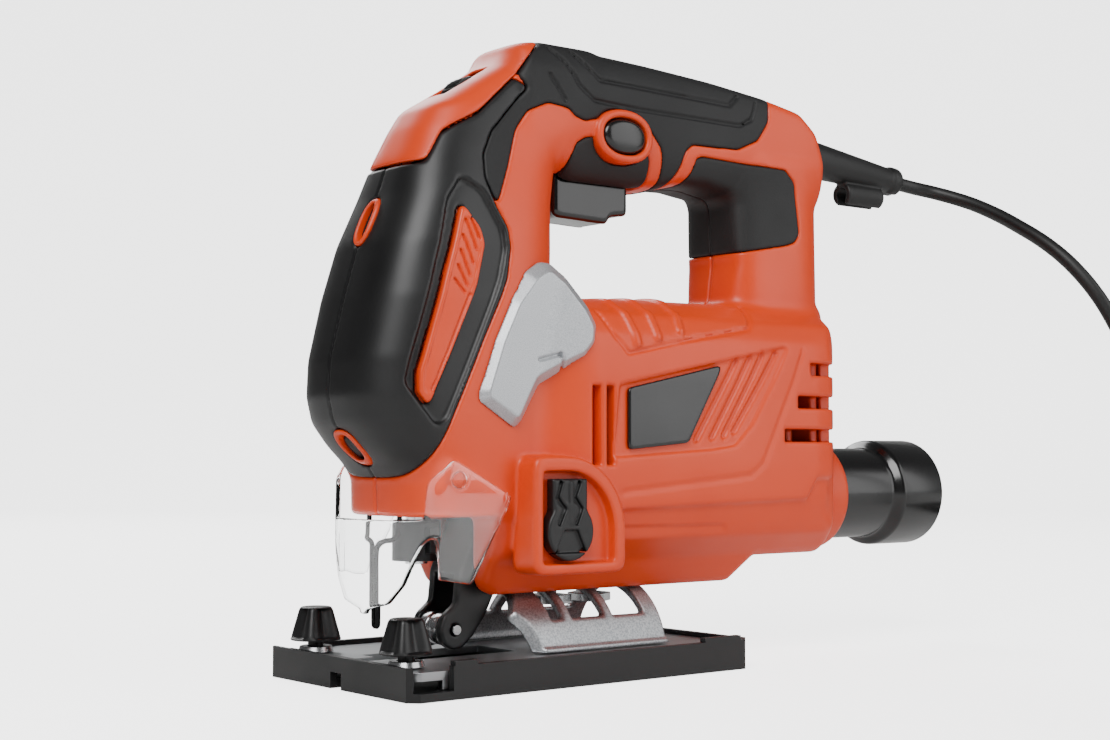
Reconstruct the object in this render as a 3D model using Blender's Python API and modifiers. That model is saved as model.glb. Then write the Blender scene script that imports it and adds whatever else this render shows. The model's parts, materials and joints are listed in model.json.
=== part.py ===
"""Corded D-handle jigsaw with a pendulum lever, a bevelling shoe and a dust port.

Frame: +X towards the rear of the tool, +Z up, -Y is the tool's left side. The origin is the
centre of the sole. Every body is built at its rest place, in world coordinates.
"""

import math

import bmesh
import bpy
from mathutils import Matrix, Vector

MM = 0.001
GAP = 0.3 * MM

# Driving sizes of the shoe
SHOE_LENGTH = 136 * MM
SHOE_WIDTH = 82 * MM
RIM_HEIGHT = 9.7 * MM
PLATE_TOP = 8.2 * MM
PLATE_THICK = 2.4 * MM
SLOT_HALF = 10.5 * MM

# Bevel bracket: a half drum about the tilt axis
TILT_Z = 5 * MM
DRUM_R = 24.5 * MM
DRUM_WALL = 3 * MM
DRUM_START = -25.5 * MM
DRUM_END = 44 * MM

# Housing
COVER = 1.4 * MM
BODY_START = -26 * MM
HANDLE_HALF = 17.5 * MM
PORT_R = 20.5 * MM
PORT_Z = 55.7 * MM
PORT_END = 138 * MM

# Drive train
MOTOR_Z = 74 * MM
MODULE = 1 * MM
PINION_TEETH = 7
GEAR_TEETH = 42
GEAR_Z = MOTOR_Z + MODULE * (PINION_TEETH + GEAR_TEETH) / 2
ECCENTRIC = 9 * MM
PLUNGER_X = -39 * MM

# Cord
CORD_D = 5.4 * MM
COIL_TURNS = 4
COIL_R = 32.1 * MM
COIL_OUTER = COIL_R + COIL_TURNS * CORD_D / 2
COIL_CENTRE = Vector((0.310, -0.1102 + COIL_OUTER - CORD_D / 2, 0.0))
COIL_END = math.radians(-30)

# Small fittings
GUARD_X = -51 * MM
GUARD_HALF = 8.4 * MM
ROLLER_CENTRE = (-30 * MM, 16 * MM)
KNOB_X = -59.7 * MM
KNOB_Y = 25.5 * MM
SCREW_HEAD = 11.5 * MM
FORK_PIVOT = (-14 * MM, 46 * MM)
SHIELD_PIVOT = (-43 * MM, 62.7 * MM)
BOLT_PLACES = (13.75 * MM, 30.75 * MM)
CORD_ROUTE = [
    (0.1875, 0.0000, 0.1778), (0.1925, -0.0003, 0.1773), (0.1985, -0.0020, 0.1763),
    (0.2045, -0.0062, 0.1747),
    (0.2090, -0.0138, 0.1718), (0.2115, -0.0222, 0.1682), (0.2128, -0.0320, 0.1632),
    (0.2132, -0.0410, 0.1580), (0.2138, -0.0500, 0.1523), (0.2148, -0.0580, 0.1460),
    (0.2164, -0.0640, 0.1397), (0.2190, -0.0690, 0.1325), (0.2228, -0.0730, 0.1237),
    (0.2285, -0.0782, 0.1085), (0.2345, -0.0850, 0.0900), (0.2405, -0.0925, 0.0700),
    (0.2465, -0.0993, 0.0500), (0.2530, -0.1048, 0.0310), (0.2610, -0.1083, 0.0158),
    (0.2700, -0.1099, 0.0068), (0.2785, -0.1102, 0.0036), (0.2870, -0.1102, 0.0031),
]

# Head: level, front, back, half width, in millimetres
HEAD_LEVELS = [
    (51.5, -53.9, -8, 26.3),
    (63, -54.4, -2, 26.8),
    (67.5, -57.5, 0, 27.0),
    (73, -63.5, 0, 27.3),
    (80, -69.3, 2, 27.6),
    (88, -71.6, 2, 27.8),
    (99, -70.8, 2, 28),
    (118, -66.0, 2, 28),
    (135, -60.9, 3, 26.5),
    (150, -54.3, 4, 24),
    (162, -50.0, 7, 21),
    (172, -45.2, 14, 19),
    (179, -41.0, 22, 18),
    (184, -32.6, 24, 17.5),
    (195, -15.1, 24, 16.5),
    (204, -5.5, 22, 12),
]
HEAD_POWER = 3.2

parts = None
cutters = None


def clear_scene():
    for obj in list(bpy.data.objects):
        bpy.data.objects.remove(obj)


def make_collection(name):
    made = bpy.data.collections.new(name)
    bpy.context.scene.collection.children.link(made)
    return made


def finish(name, colour, roughness, metallic=0.0):
    """A Principled material, made once for each name."""
    made = bpy.data.materials.get(name)
    if made is None:
        made = bpy.data.materials.new(name)
        made.use_nodes = True
        shader = made.node_tree.nodes["Principled BSDF"]
        shader.inputs["Base Color"].default_value = (*colour, 1)
        shader.inputs["Roughness"].default_value = roughness
        shader.inputs["Metallic"].default_value = metallic
    return made


def orange():
    return finish("orange_abs", (0.76, 0.13, 0.02), 0.45)


def black():
    return finish("black_overmould", (0.015, 0.015, 0.016), 0.7)


def gloss_black():
    return finish("black_plastic", (0.012, 0.012, 0.013), 0.3)


def silver():
    return finish("silver_paint", (0.55, 0.56, 0.57), 0.35, 0.6)


def diecast():
    return finish("die_cast", (0.5, 0.5, 0.5), 0.5, 0.9)


def steel():
    return finish("steel", (0.45, 0.45, 0.46), 0.35, 1.0)


def dark_steel():
    return finish("dark_steel", (0.03, 0.03, 0.03), 0.4, 0.8)


def copper():
    return finish("copper", (0.7, 0.28, 0.12), 0.4, 1.0)


def clear():
    return finish("clear_polycarbonate", (0.9, 0.9, 0.9), 0.1)


def rubber():
    return finish("black_rubber", (0.02, 0.02, 0.02), 0.6)


def from_bmesh(name, mesh_data, material=None, helper=False):
    """Turns a bmesh into an object: a part of the tool, or a helper among the cutters."""
    mesh = bpy.data.meshes.new(name)
    mesh_data.to_mesh(mesh)
    mesh_data.free()
    made = bpy.data.objects.new(name, mesh)
    (cutters if helper else parts).objects.link(made)
    if material:
        mesh.materials.append(material)
    if helper:
        made.hide_render = True
        made.display_type = "WIRE"
    return made


def box(name, low, high, material=None, helper=False):
    """A block from its low corner to its high corner, in metres."""
    low, high = Vector(low), Vector(high)
    made = bmesh.new()
    bmesh.ops.create_cube(made, size=1)
    size = high - low
    bmesh.ops.scale(made, vec=size, verts=made.verts)
    bmesh.ops.translate(made, vec=(low + high) / 2, verts=made.verts)
    return from_bmesh(name, made, material, helper)


def rod(name, start, end, radius, material=None, end_radius=None, sides=24, helper=False):
    """A cylinder or cone with its axis from start to end."""
    start, end = Vector(start), Vector(end)
    axis = end - start
    turn = axis.to_track_quat("Z", "Y").to_matrix().to_4x4()
    made = bmesh.new()
    bmesh.ops.create_cone(
        made,
        cap_ends=True,
        segments=sides,
        radius1=radius,
        radius2=radius if end_radius is None else end_radius,
        depth=axis.length,
        matrix=Matrix.Translation((start + end) / 2) @ turn,
    )
    made_object = from_bmesh(name, made, material, helper)
    made_object.data.shade_smooth()
    made_object.data.set_sharp_from_angle(angle=math.radians(40))
    return made_object


def prism(name, points, normal, low, high, material=None, helper=False):
    """A flat outline given a thickness along one axis.

    normal is X, Y or Z. The outline's points are (Y, Z), (X, Z) or (X, Y) in millimetres, and
    low and high are the two faces' places along the normal, in metres.
    """
    curve = bpy.data.curves.new(name, "CURVE")
    curve.dimensions = "2D"
    curve.fill_mode = "BOTH"
    curve.extrude = (high - low) / 2
    spline = curve.splines.new("POLY")
    spline.points.add(len(points) - 1)
    for point, (u, v) in zip(spline.points, points):
        point.co = (u * MM, v * MM, 0, 1)
    spline.use_cyclic_u = True
    flat = bpy.data.objects.new(name, curve)
    parts.objects.link(flat)
    bpy.context.view_layer.update()
    graph = bpy.context.evaluated_depsgraph_get()
    mesh = bpy.data.meshes.new_from_object(flat.evaluated_get(graph))
    bpy.data.objects.remove(flat)
    middle = (low + high) / 2
    places = {
        "X": Matrix(((0, 0, 1, middle), (1, 0, 0, 0), (0, 1, 0, 0), (0, 0, 0, 1))),
        "Y": Matrix(((1, 0, 0, 0), (0, 0, -1, middle), (0, 1, 0, 0), (0, 0, 0, 1))),
        "Z": Matrix.Translation((0, 0, middle)),
    }
    made = bmesh.new()
    made.from_mesh(mesh)
    bpy.data.meshes.remove(mesh)
    bmesh.ops.remove_doubles(made, verts=made.verts, dist=1e-6)
    bmesh.ops.transform(made, matrix=places[normal], verts=made.verts)
    bmesh.ops.recalc_face_normals(made, faces=made.faces)
    return from_bmesh(name, made, material, helper)


def loft(name, sections, material=None, helper=False):
    """A solid through closed sections of equal point counts, with flat ends."""
    made = bmesh.new()
    rings = [[made.verts.new(point) for point in section] for section in sections]
    count = len(sections[0])
    for lower, upper in zip(rings, rings[1:]):
        for i in range(count):
            j = (i + 1) % count
            made.faces.new((lower[i], lower[j], upper[j], upper[i]))
    made.faces.new(reversed(rings[0]))
    made.faces.new(rings[-1])
    bmesh.ops.recalc_face_normals(made, faces=made.faces)
    return from_bmesh(name, made, material, helper)


def turned(name, profile, centre, axis, material, steps=28):
    """A ring or knob: a profile of (radius, height) in millimetres turned about an axis.

    The profile runs down its outer side, and the Screw modifier turns it about Z.
    """
    mesh = bpy.data.meshes.new(name)
    points = [(radius * MM, 0, height * MM) for radius, height in profile]
    closed = profile[0] == profile[-1]
    if closed:
        points = points[:-1]
    edges = [(i, i + 1) for i in range(len(points) - 1)]
    if closed:
        edges.append((len(points) - 1, 0))
    mesh.from_pydata(points, edges, [])
    made = bpy.data.objects.new(name, mesh)
    parts.objects.link(made)
    screw = made.modifiers.new("turn", "SCREW")
    screw.steps = screw.render_steps = steps
    screw.use_merge_vertices = True
    screw.merge_threshold = 0.00001
    mesh.materials.append(material)
    made.rotation_euler = Vector(axis).to_track_quat("Z", "Y").to_euler()
    made.location = centre
    freeze(made)
    fix = bmesh.new()
    fix.from_mesh(made.data)
    bmesh.ops.remove_doubles(fix, verts=fix.verts, dist=1e-6)
    bmesh.ops.recalc_face_normals(fix, faces=fix.faces)
    fix.to_mesh(made.data)
    fix.free()
    return made


def freeze(obj):
    """Replaces an object's mesh with its evaluated one, in world coordinates."""
    bpy.context.view_layer.update()
    graph = bpy.context.evaluated_depsgraph_get()
    mesh = bpy.data.meshes.new_from_object(obj.evaluated_get(graph))
    mesh.transform(obj.matrix_world)
    obj.modifiers.clear()
    obj.data = mesh
    obj.matrix_world = Matrix.Identity(4)
    return obj


def boolean(target, other, operation, keep=False):
    """Cuts, joins or intersects target with other; a kept cutter stays among the cutters."""
    change = target.modifiers.new(operation.lower(), "BOOLEAN")
    change.operation = operation
    change.solver = "EXACT"
    change.object = other
    freeze(target)
    if not keep:
        bpy.data.objects.remove(other)
    return target


def cut(target, *others):
    for other in others:
        boolean(target, other, "DIFFERENCE")
    return target


def join(target, *others):
    for other in others:
        boolean(target, other, "UNION")
    return target


def common(target, *others):
    for other in others:
        boolean(target, other, "INTERSECT")
    return target


def soften(obj, width, segments=2, angle=35):
    """Rounds the edges sharper than an angle."""
    bevel = obj.modifiers.new("soften", "BEVEL")
    bevel.width = width
    bevel.segments = segments
    bevel.limit_method = "ANGLE"
    bevel.angle_limit = math.radians(angle)
    return obj


def copy_of(obj, name, helper=False):
    made = bpy.data.objects.new(name, obj.data.copy())
    (cutters if helper else parts).objects.link(made)
    made.hide_render = helper
    if helper:
        made.display_type = "WIRE"
    return made


def superellipse(centre, half_u, half_v, power, count):
    """Points round |u/a|^p + |v/b|^p = 1, from the angle's cosine and sine."""
    points = []
    for step in range(count):
        angle = 2 * math.pi * (step + 0.5) / count
        cosine, sine = math.cos(angle), math.sin(angle)
        u = centre[0] + half_u * math.copysign(abs(cosine) ** (2 / power), cosine)
        v = centre[1] + half_v * math.copysign(abs(sine) ** (2 / power), sine)
        points.append((u, v))
    return points


def inset(points, amount):
    """Moves a closed outline inwards by an amount, each corner along its two edges' normals."""
    area = sum(
        a[0] * b[1] - b[0] * a[1] for a, b in zip(points, points[1:] + points[:1])
    )
    side = 1 if area > 0 else -1
    moved = []
    for index, point in enumerate(points):
        before = Vector(points[index - 1])
        here = Vector(point)
        after = Vector(points[(index + 1) % len(points)])
        first = (here - before).normalized()
        second = (after - here).normalized()
        normal_1 = Vector((-first.y, first.x)) * side
        normal_2 = Vector((-second.y, second.x)) * side
        middle = (normal_1 + normal_2).normalized()
        reach = amount / max(middle.dot(normal_1), 0.5)
        moved.append(tuple(here + middle * reach))
    return moved


def mirrored(points):
    """A half outline, from bottom to top at positive widths, closed with its mirror image."""
    return points + [(-width, height) for width, height in reversed(points)]


# ---------------------------------------------------------------- housing


BODY_SIDE = [
    (-26, 37), (-25, 30), (-20.5, 25.8), (81, 25.8), (90, 35.2), (122, 35.2),
    (125, 40), (125.5, 75), (126.5, 112), (131, 124), (40, 122.5), (0, 121), (-26, 121),
]
BODY_SECTION = mirrored(
    [(14.5, 20), (14.5, 25.8), (20, 36), (30, 46), (33, 55), (34, 66), (34, 96), (32, 108),
     (27, 116), (18, 121), (10, 124), (9, 130)]
)
BODY_PLAN = mirrored(
    [(24, -30), (26, -12), (34, 8), (34, 108), (32, 116), (27, 122), (18, 126), (10, 135)]
)
LEVER_CENTRE = (-7, 46.7)
LEVER_POCKET_R = 18.6
BUTTON_CENTRE = (31, 175.7)
DIAL_CENTRE = (-18.9, 181.6)
DIAL_SLOPE = math.radians(30.5)
SCREW_PLACES = [(-12, 143), (108, 186), (106, 126), (72, 34.5)]
BAR_SIDE = [
    (-8, 172), (-8, 202), (0, 205), (20, 205.2), (45, 204), (75, 201.5), (100, 198.5),
    (118, 195), (126, 188), (130, 178), (131, 160), (100, 160), (86, 161), (72, 163.5),
    (60, 163), (52, 160), (44, 160), (43, 158.5), (12, 158.5), (9, 166), (4, 172),
]
POST_SIDE = [
    (86, 112), (86, 128), (88, 138), (87, 145), (86, 161), (96, 175), (128, 175),
    (128.5, 160), (129, 145), (130.5, 128), (132, 112),
]


def swap(points):
    return [(height, width) for width, height in points]


def coarser(count, depth):
    """The hidden inner forms need fewer points round a section than the outer ones."""
    return count if depth < 2 else count // 2


def head_solid(name, depth):
    sections = []
    for level, front, back, half in HEAD_LEVELS:
        rise = min(max(level, 51.5 + depth), 204 - depth)
        middle = (front + back) / 2
        reach = (back - front) / 2 - depth
        plan = superellipse((middle, 0), reach, half - depth, HEAD_POWER, coarser(24, depth))
        sections.append([(x * MM, y * MM, rise * MM) for x, y in plan])
    return loft(name, sections, helper=True)


def body_solid(name, depth):
    solid = prism(name, inset(BODY_SIDE, depth), "Y", -0.04, 0.04, helper=True)
    section = prism("section", inset(BODY_SECTION, depth), "X", -0.06, 0.16, helper=True)
    plan = prism("plan", inset(swap(BODY_PLAN), depth), "Z", 0, 0.2, helper=True)
    return common(solid, section, plan)


def bar_solid(name, depth):
    solid = prism(name, inset(BAR_SIDE, depth), "Y", -0.03, 0.03, helper=True)
    middle, rise = (-0.0, 183), 24.5
    round_bar = superellipse(middle, HANDLE_HALF / MM - depth, rise - depth, 2.6, coarser(20, depth))
    return common(solid, prism("round", round_bar, "X", -0.03, 0.15, helper=True))


def post_solid(name, depth):
    solid = prism(name, inset(POST_SIDE, depth), "Y", -0.03, 0.03, helper=True)
    plan = superellipse((108.5, 0), 23.5 - depth, 17.5 - depth, 3, coarser(20, depth))
    return common(solid, prism("plan", plan, "Z", 0.1, 0.2, helper=True))


def port_solid(name, depth):
    end = PORT_END - depth * MM
    return rod(name, (0.092, 0, PORT_Z), (end, 0, PORT_Z), PORT_R - depth * MM, sides=coarser(28, depth),
               helper=True)


def shell_solid(name, depth):
    """The whole housing's outer form, moved inwards by a depth in millimetres."""
    solid = head_solid(name, depth)
    join(solid, body_solid("body", depth), bar_solid("bar", depth))
    join(solid, post_solid("post", depth), port_solid("port", depth))
    return solid


HEAD_COVER_SIDE = [
    (-80, 60), (-54, 63), (-47, 75.5), (-33.4, 105), (-24, 124), (-22, 134), (-22.3, 140),
    (-26.2, 147), (-29, 155.4), (-28.5, 163), (-24.2, 171), (-9, 187), (-13, 190),
    (-28, 176.5), (-37, 171.6), (-41, 169), (-47, 159.4), (-80, 157),
]
CAP_SIDE = [
    (-80, 158), (-46.4, 160.2), (-40.3, 170), (-36.6, 172.5), (-27.6, 177.4), (-12, 191.2),
    (-7.7, 197), (-11, 201), (-9, 215), (-80, 215),
]
GRIP_SIDE = [
    (-25.4, 147.5), (-28.3, 155.4), (-27.8, 163), (-23.5, 171), (-8.3, 187), (-8, 190),
    (-7, 197), (-10, 201), (-8, 215), (112, 215), (100.9, 194.5), (100.1, 189), (94.5, 181.6),
    (84.6, 177.3), (63.2, 176.7), (60.2, 174), (58.7, 168.3), (56.4, 163.6), (56.4, 150),
    (51, 150), (51, 164.5), (50, 170.6), (48.9, 174), (45.5, 177.4), (43, 180), (19.5, 180.5),
    (14.4, 179.1), (9.4, 180.2), (7.3, 182.3), (-1.5, 183), (-9.4, 179.5), (-14.6, 172.5),
    (-19.2, 160.6),
]
SILVER_SIDE = [
    (-11.5, 130.3), (-9, 130), (4.5, 115.5), (7, 110), (7, 105), (3, 100), (-6, 96), (-13, 92),
    (-19.5, 80), (-22.5, 77.4), (-36.5, 86), (-36.5, 89.5), (-30.5, 106), (-24.5, 118), (-17, 127),
]
BADGE_SIDE = [(20, 91.6), (20, 71.8), (46, 74.1), (62, 100.3)]
LEAF_SIDE = [
    (-38.8, 147), (-33, 139.5), (-31.9, 134.4), (-35.5, 122), (-52.6, 84.6), (-55.8, 88.7),
    (-55.8, 94.9), (-47, 123),
]
REAR_SIDE = [
    (62.6, 164.1), (64.6, 168.2), (65.5, 172.1), (68, 173.3), (107.8, 172.4), (112.8, 168.2),
    (115.6, 149.8), (113, 146.6), (108.4, 145.2), (88.6, 141.6), (60, 141.6), (60, 150),
]


def layer(name, outline, outer, low, high, material):
    """The outer skin of the housing inside a side outline: the form less its inset form."""
    skin = copy_of(outer, name)
    skin.data.materials.clear()
    skin.data.materials.append(material)
    common(skin, prism("window", outline, "Y", low, high, helper=True))
    return skin


def housing():
    """Two clamshell halves, and the covers that lie in recesses of their outer faces."""
    outer = shell_solid("outer_form", 0)
    under = shell_solid("under_form", COVER / MM)
    seat = shell_solid("seat_form", (COVER + GAP) / MM)
    inner = shell_solid("inner_form", (COVER + GAP + 1.9 * MM) / MM)

    covers = {
        "head_cover": (HEAD_COVER_SIDE, -0.04, 0.04, gloss_black()),
        "top_cap": (CAP_SIDE, -0.04, 0.04, orange()),
        "handle_grip_left": (GRIP_SIDE, -0.04, -GAP / 2, black()),
        "handle_grip_right": (GRIP_SIDE, GAP / 2, 0.04, black()),
        "rear_grip_left": (REAR_SIDE, -0.04, -GAP / 2, black()),
        "rear_grip_right": (REAR_SIDE, GAP / 2, 0.04, black()),
    }
    made = {}
    for name, (outline, low, high, material) in covers.items():
        skin = layer(name, inset(outline, 0.15), outer, low, high, material)
        boolean(skin, under, "DIFFERENCE", keep=True)
        made[name] = skin

    core = copy_of(outer, "core", helper=True)
    join(core, bezel_solid(), button_ring())
    recess = None
    for index, outline in enumerate((HEAD_COVER_SIDE, CAP_SIDE, GRIP_SIDE, REAR_SIDE)):
        reach = 0.05 + 0.001 * index
        window = prism("window", inset(outline, -0.15), "Y", -reach, reach, helper=True)
        recess = join(recess, window) if recess else window
    boolean(recess, seat, "DIFFERENCE", keep=True)
    cut(core, recess)
    floor = (BODY_START - 0.01, 0, TILT_Z), (0.1, 0, TILT_Z)
    cut(inner, rod("floor", *floor, DRUM_R + 3.8 * MM, sides=48, helper=True))
    boolean(core, inner, "DIFFERENCE", keep=True)
    middle = shell_solid("middle_form", 2.7)
    for rib in ribs():
        boolean(rib, middle, "INTERSECT", keep=True)
        join(core, rib)
    openings(core)

    halves = {"housing_left": (-0.06, -GAP / 2), "housing_right": (GAP / 2, 0.06)}
    for name, (low, high) in halves.items():
        half = copy_of(core, name)
        half.data.materials.clear()
        half.data.materials.append(orange())
        common(half, box("half", (-0.2, low, -0.1), (0.2, high, 0.3), helper=True))
        made[name] = half
    for helper in (outer, under, seat, inner, middle, core):
        bpy.data.objects.remove(helper)
    return made


def wedge(radius, start, end, steps):
    """Points of an arc about the lever's centre, angles in degrees from +X towards +Z."""
    x, z = LEVER_CENTRE
    angles = [math.radians(start + (end - start) * i / steps) for i in range(steps + 1)]
    return [(x + radius * math.cos(a), z + radius * math.sin(a)) for a in angles]


def lever_outline(radius, margin):
    """The quarter disc that the lever sweeps, with margins to its front and below."""
    x, z = LEVER_CENTRE
    arc = wedge(radius, 0, 90, 8)
    return [(x + radius, z - margin)] + arc + [(x - margin, z + radius), (x - margin, z - margin)]


def bezel_solid():
    return prism("bezel", lever_outline(LEVER_POCKET_R + 4.6, 13.2), "Y", -0.0363, -0.026, helper=True)


def button_ring():
    ring = superellipse(BUTTON_CENTRE, 12.2, 8.9, 2.2, 24)
    return prism("button_ring", ring, "Y", -0.0197, -0.0120, helper=True)


def dial_slot():
    """A slot along the cap's slope, over the dial."""
    along = Vector((math.cos(DIAL_SLOPE), math.sin(DIAL_SLOPE)))
    out = Vector((-along.y, along.x))
    centre = Vector(DIAL_CENTRE) + out * 9.8
    corners = ((-9.8, -8), (9.8, -8), (9.8, 8), (-9.8, 8))
    points = [tuple(centre + along * a + out * b) for a, b in corners]
    return prism("dial_slot", points, "Y", -0.0042, 0.0042, helper=True)


def openings(core):
    """Cuts the blade opening, the drum channel, the vents, and the seats of the controls."""
    cut(core, rod("channel", (-0.06, 0, TILT_Z), (0.1, 0, TILT_Z), DRUM_R + 0.9 * MM, sides=48,
                  helper=True))
    cut(core, box("mouth", (-0.049, -0.011, 0.02), (-0.0085, 0.011, 0.056), helper=True))
    cut(core, rod("port_bore", (0.115, 0, PORT_Z), (0.2, 0, PORT_Z), 17.4 * MM, sides=32,
                  helper=True))
    cut(core, box("trigger_slot", (0.0085, -0.0083, 0.14), (0.0435, 0.0083, 0.172), helper=True))
    bore = superellipse(BUTTON_CENTRE, 9.5, 6.3, 2.2, 24)
    cut(core, prism("button_bore", bore, "Y", -0.03, -0.005, helper=True))
    cut(core, rod("relief_bore", (0.115, 0, 0.183), (0.15, 0, 0.183), 6.3 * MM, helper=True))
    x, z = LEVER_CENTRE
    cut(core, prism("lever_pocket", lever_outline(LEVER_POCKET_R, 9.8), "Y", -0.04, -0.0324,
                    helper=True))
    cut(core, rod("lever_bore", (x * MM, -0.04, z * MM), (x * MM, -0.02, z * MM), 5.9 * MM,
                  helper=True))
    cut(core, dial_slot())
    x, z = DIAL_CENTRE
    for start, end, radius, centre in (
        (-0.0090, 0.0090, 2.8, (x * MM, z * MM)), (-0.0148, 0.0148, 2.8, FORK_PIVOT),
        (-0.0300, -0.0235, 2.8, SHIELD_PIVOT), (0.0235, 0.0300, 2.8, SHIELD_PIVOT),
    ):
        across = (centre[0], start, centre[1]), (centre[0], end, centre[1])
        cut(core, rod("pivot_bore", *across, radius * MM, sides=16, helper=True))
    for side in (-1, 1):
        guard = (GUARD_X, side * GUARD_HALF)
        cut(core, rod("guard_bore", (*guard, 0.045), (*guard, 0.0595), 1.2 * MM, sides=12,
                      helper=True))
        for step in range(2):
            start = 0.0058 + 0.0054 * step
            cut(core, vent(side, start, start + 0.0032, 0.067, 0.0922, 0.0285))
        for step in range(3):
            level = 0.0747 + 0.0116 * step
            start = 0.0915 + 0.0067 * step
            cut(core, vent(side, start, 0.135, level, level + 0.0044, 0.0245))
    for x in BOLT_PLACES:
        cut(core, rod("bolt_bore", (x, 0, 0.02), (x, 0, 0.0385), 2.7 * MM, sides=16, helper=True))
    for x, z in SCREW_PLACES:
        start = (x * MM, -0.012, z * MM)
        cut(core, rod("screw_bore", start, (x * MM, 0.05, z * MM), 2.1 * MM, sides=12, helper=True))
        head = (x * MM, SCREW_HEAD, z * MM)
        cut(core, rod("screw_seat", head, (x * MM, 0.05, z * MM), 3.3 * MM, sides=16, helper=True))


def ribs():
    """Inner ribs that hold the motor, its bearings and brushes, the bushes, dial and switch."""
    made = []
    for x, z in SCREW_PLACES:
        across = (x * MM, -0.05, z * MM), (x * MM, 0.05, z * MM)
        made.append(rod("boss", *across, 4.2 * MM, sides=12, helper=True))
    for centre, half_length, bore in (
        (0.025, 0.0018, 11.4), (0.070, 0.0022, 28), (0.1145, 0.0018, 9.9), (0.102, 0.0016, 12)
    ):
        rib = box("rib", (centre - half_length, -0.05, 0.035), (centre + half_length, 0.05, 0.118),
                  helper=True)
        axis = (centre - 0.01, 0, MOTOR_Z), (centre + 0.01, 0, MOTOR_Z)
        made.append(cut(rib, rod("bore", *axis, bore * MM, helper=True)))
    cut(made[-1], box("brush_seat", (0.09, -0.0223, 0.0702), (0.11, 0.0223, 0.0778), helper=True))
    for middle in (0.066, 0.126):
        rib = box("rib", (-0.07, -0.04, middle - 0.002), (-0.028, 0.04, middle + 0.002), helper=True)
        axis = (PLUNGER_X, 0, middle - 0.01), (PLUNGER_X, 0, middle + 0.01)
        made.append(cut(rib, rod("bore", *axis, 7.3 * MM, helper=True)))
    rib = box("rib", (0.020, -0.03, 0.162), (0.023, 0.03, 0.198), helper=True)
    made.append(cut(rib, box("module_seat", (0.01, -0.0098, 0.1722), (0.05, 0.0098, 0.1873),
                             helper=True)))
    for side in (-1, 1):
        across = sorted((side * 0.0055, side * 0.02))
        made.append(box("dial_boss", (-0.0225, across[0], 0.1775), (-0.0152, across[1], 0.1857),
                        helper=True))
        across = sorted((side * 0.0105, side * 0.04))
        made.append(box("fork_boss", (-0.0185, across[0], 0.0415), (-0.0095, across[1], 0.0505),
                        helper=True))
    return made


def vent(side, start, end, low, high, depth):
    """A slot through one side wall."""
    across = sorted((side * 0.042, side * depth))
    return box("vent", (start, across[0], low), (end, across[1], high), helper=True)


def trim(made):
    """The small covers let into, or laid on, the housing and its head cover."""
    seat_on = shell_solid("seat_on", -GAP / MM)
    proud = shell_solid("proud", -3.2)
    thin = shell_solid("thin", -0.9)
    under = shell_solid("under_form", COVER / MM)
    for side, name in ((-1, "left"), (1, "right")):
        reach = sorted((side * 0.05, side * 0.012))
        cover = prism("silver_cover_" + name, SILVER_SIDE, "Y", *reach, silver())
        boolean(cover, proud, "INTERSECT", keep=True)
        boolean(cover, seat_on, "DIFFERENCE", keep=True)
        badge = prism("badge_" + name, BADGE_SIDE, "Y", *reach, gloss_black())
        boolean(badge, thin, "INTERSECT", keep=True)
        boolean(badge, seat_on, "DIFFERENCE", keep=True)
        leaf = prism("head_vent_" + name, inset(LEAF_SIDE, 0.3), "Y", *reach, orange())
        boolean(leaf, thin, "INTERSECT", keep=True)
        boolean(leaf, under, "DIFFERENCE", keep=True)
        cut(made["head_cover"], prism("leaf", LEAF_SIDE, "Y", *reach, helper=True))
    for name, level, half_width, half_height in (
        ("front_light_ring", 141.7, 4.2, 7.6), ("nose_vent", 72.5, 5.6, 5.4)
    ):
        front = (-0.09, -0.04)
        hole = superellipse((0, level), half_width + 0.3, half_height + 0.3, 2.4, 20)
        cut(made["head_cover"], prism("hole", hole, "X", *front, helper=True))
        ring = prism(name, superellipse((0, level), half_width, half_height, 2.4, 20), "X", *front,
                     orange())
        boolean(ring, thin, "INTERSECT", keep=True)
        boolean(ring, under, "DIFFERENCE", keep=True)
        slot = superellipse((0, level), half_width - 2.2, half_height - 2.2, 2.4, 20)
        cut(ring, prism("slot", slot, "X", *front, helper=True))
    for helper in (seat_on, proud, thin, under):
        bpy.data.objects.remove(helper)


# ---------------------------------------------------------------- controls


def controls():
    """Trigger, lock-on button, speed dial and pendulum lever, each on its own joint."""
    trigger = prism("trigger", [(9.3, 165), (9.3, 149), (12, 148), (33, 147.3), (34.5, 149.8),
                                (42.5, 151), (42.5, 165)], "Y", -0.0078, 0.0078, gloss_black())
    soften(trigger, 1.2 * MM, 1)
    box("switch_module", (0.013, -0.0095, 0.1725), (0.048, 0.0095, 0.187), gloss_black())
    button = prism("lock_button", superellipse(BUTTON_CENTRE, 9.1, 5.9, 2.2, 24), "Y", -0.0205,
                   -0.0135, gloss_black())
    soften(button, 1 * MM, 1)
    x, z = DIAL_CENTRE
    dial = rod("speed_dial", (x * MM, -0.0037, z * MM), (x * MM, 0.0037, z * MM), 11 * MM,
               gloss_black(), sides=32)
    join(dial, rod("axle", (x * MM, -0.0083, z * MM), (x * MM, 0.0083, z * MM), 2.5 * MM, sides=12,
                   helper=True))
    x, z = LEVER_CENTRE
    lever = rod("pendulum_lever", (x * MM, -0.0375, z * MM), (x * MM, -0.0328, z * MM), 9.2 * MM,
                gloss_black(), sides=32)
    bar = [(x - 7.2, z), (x + 7.2, z), (x + 7.2, z + 15), (x + 5.6, z + 16.4), (x - 5.6, z + 16.4),
           (x - 7.2, z + 15)]
    join(lever, prism("bar", bar, "Y", -0.0371, -0.0331, helper=True))
    join(lever, rod("shaft", (x * MM, -0.035, z * MM), (x * MM, -0.0235, z * MM), 5.5 * MM,
                    helper=True))


# ---------------------------------------------------------------- drive train


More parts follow.
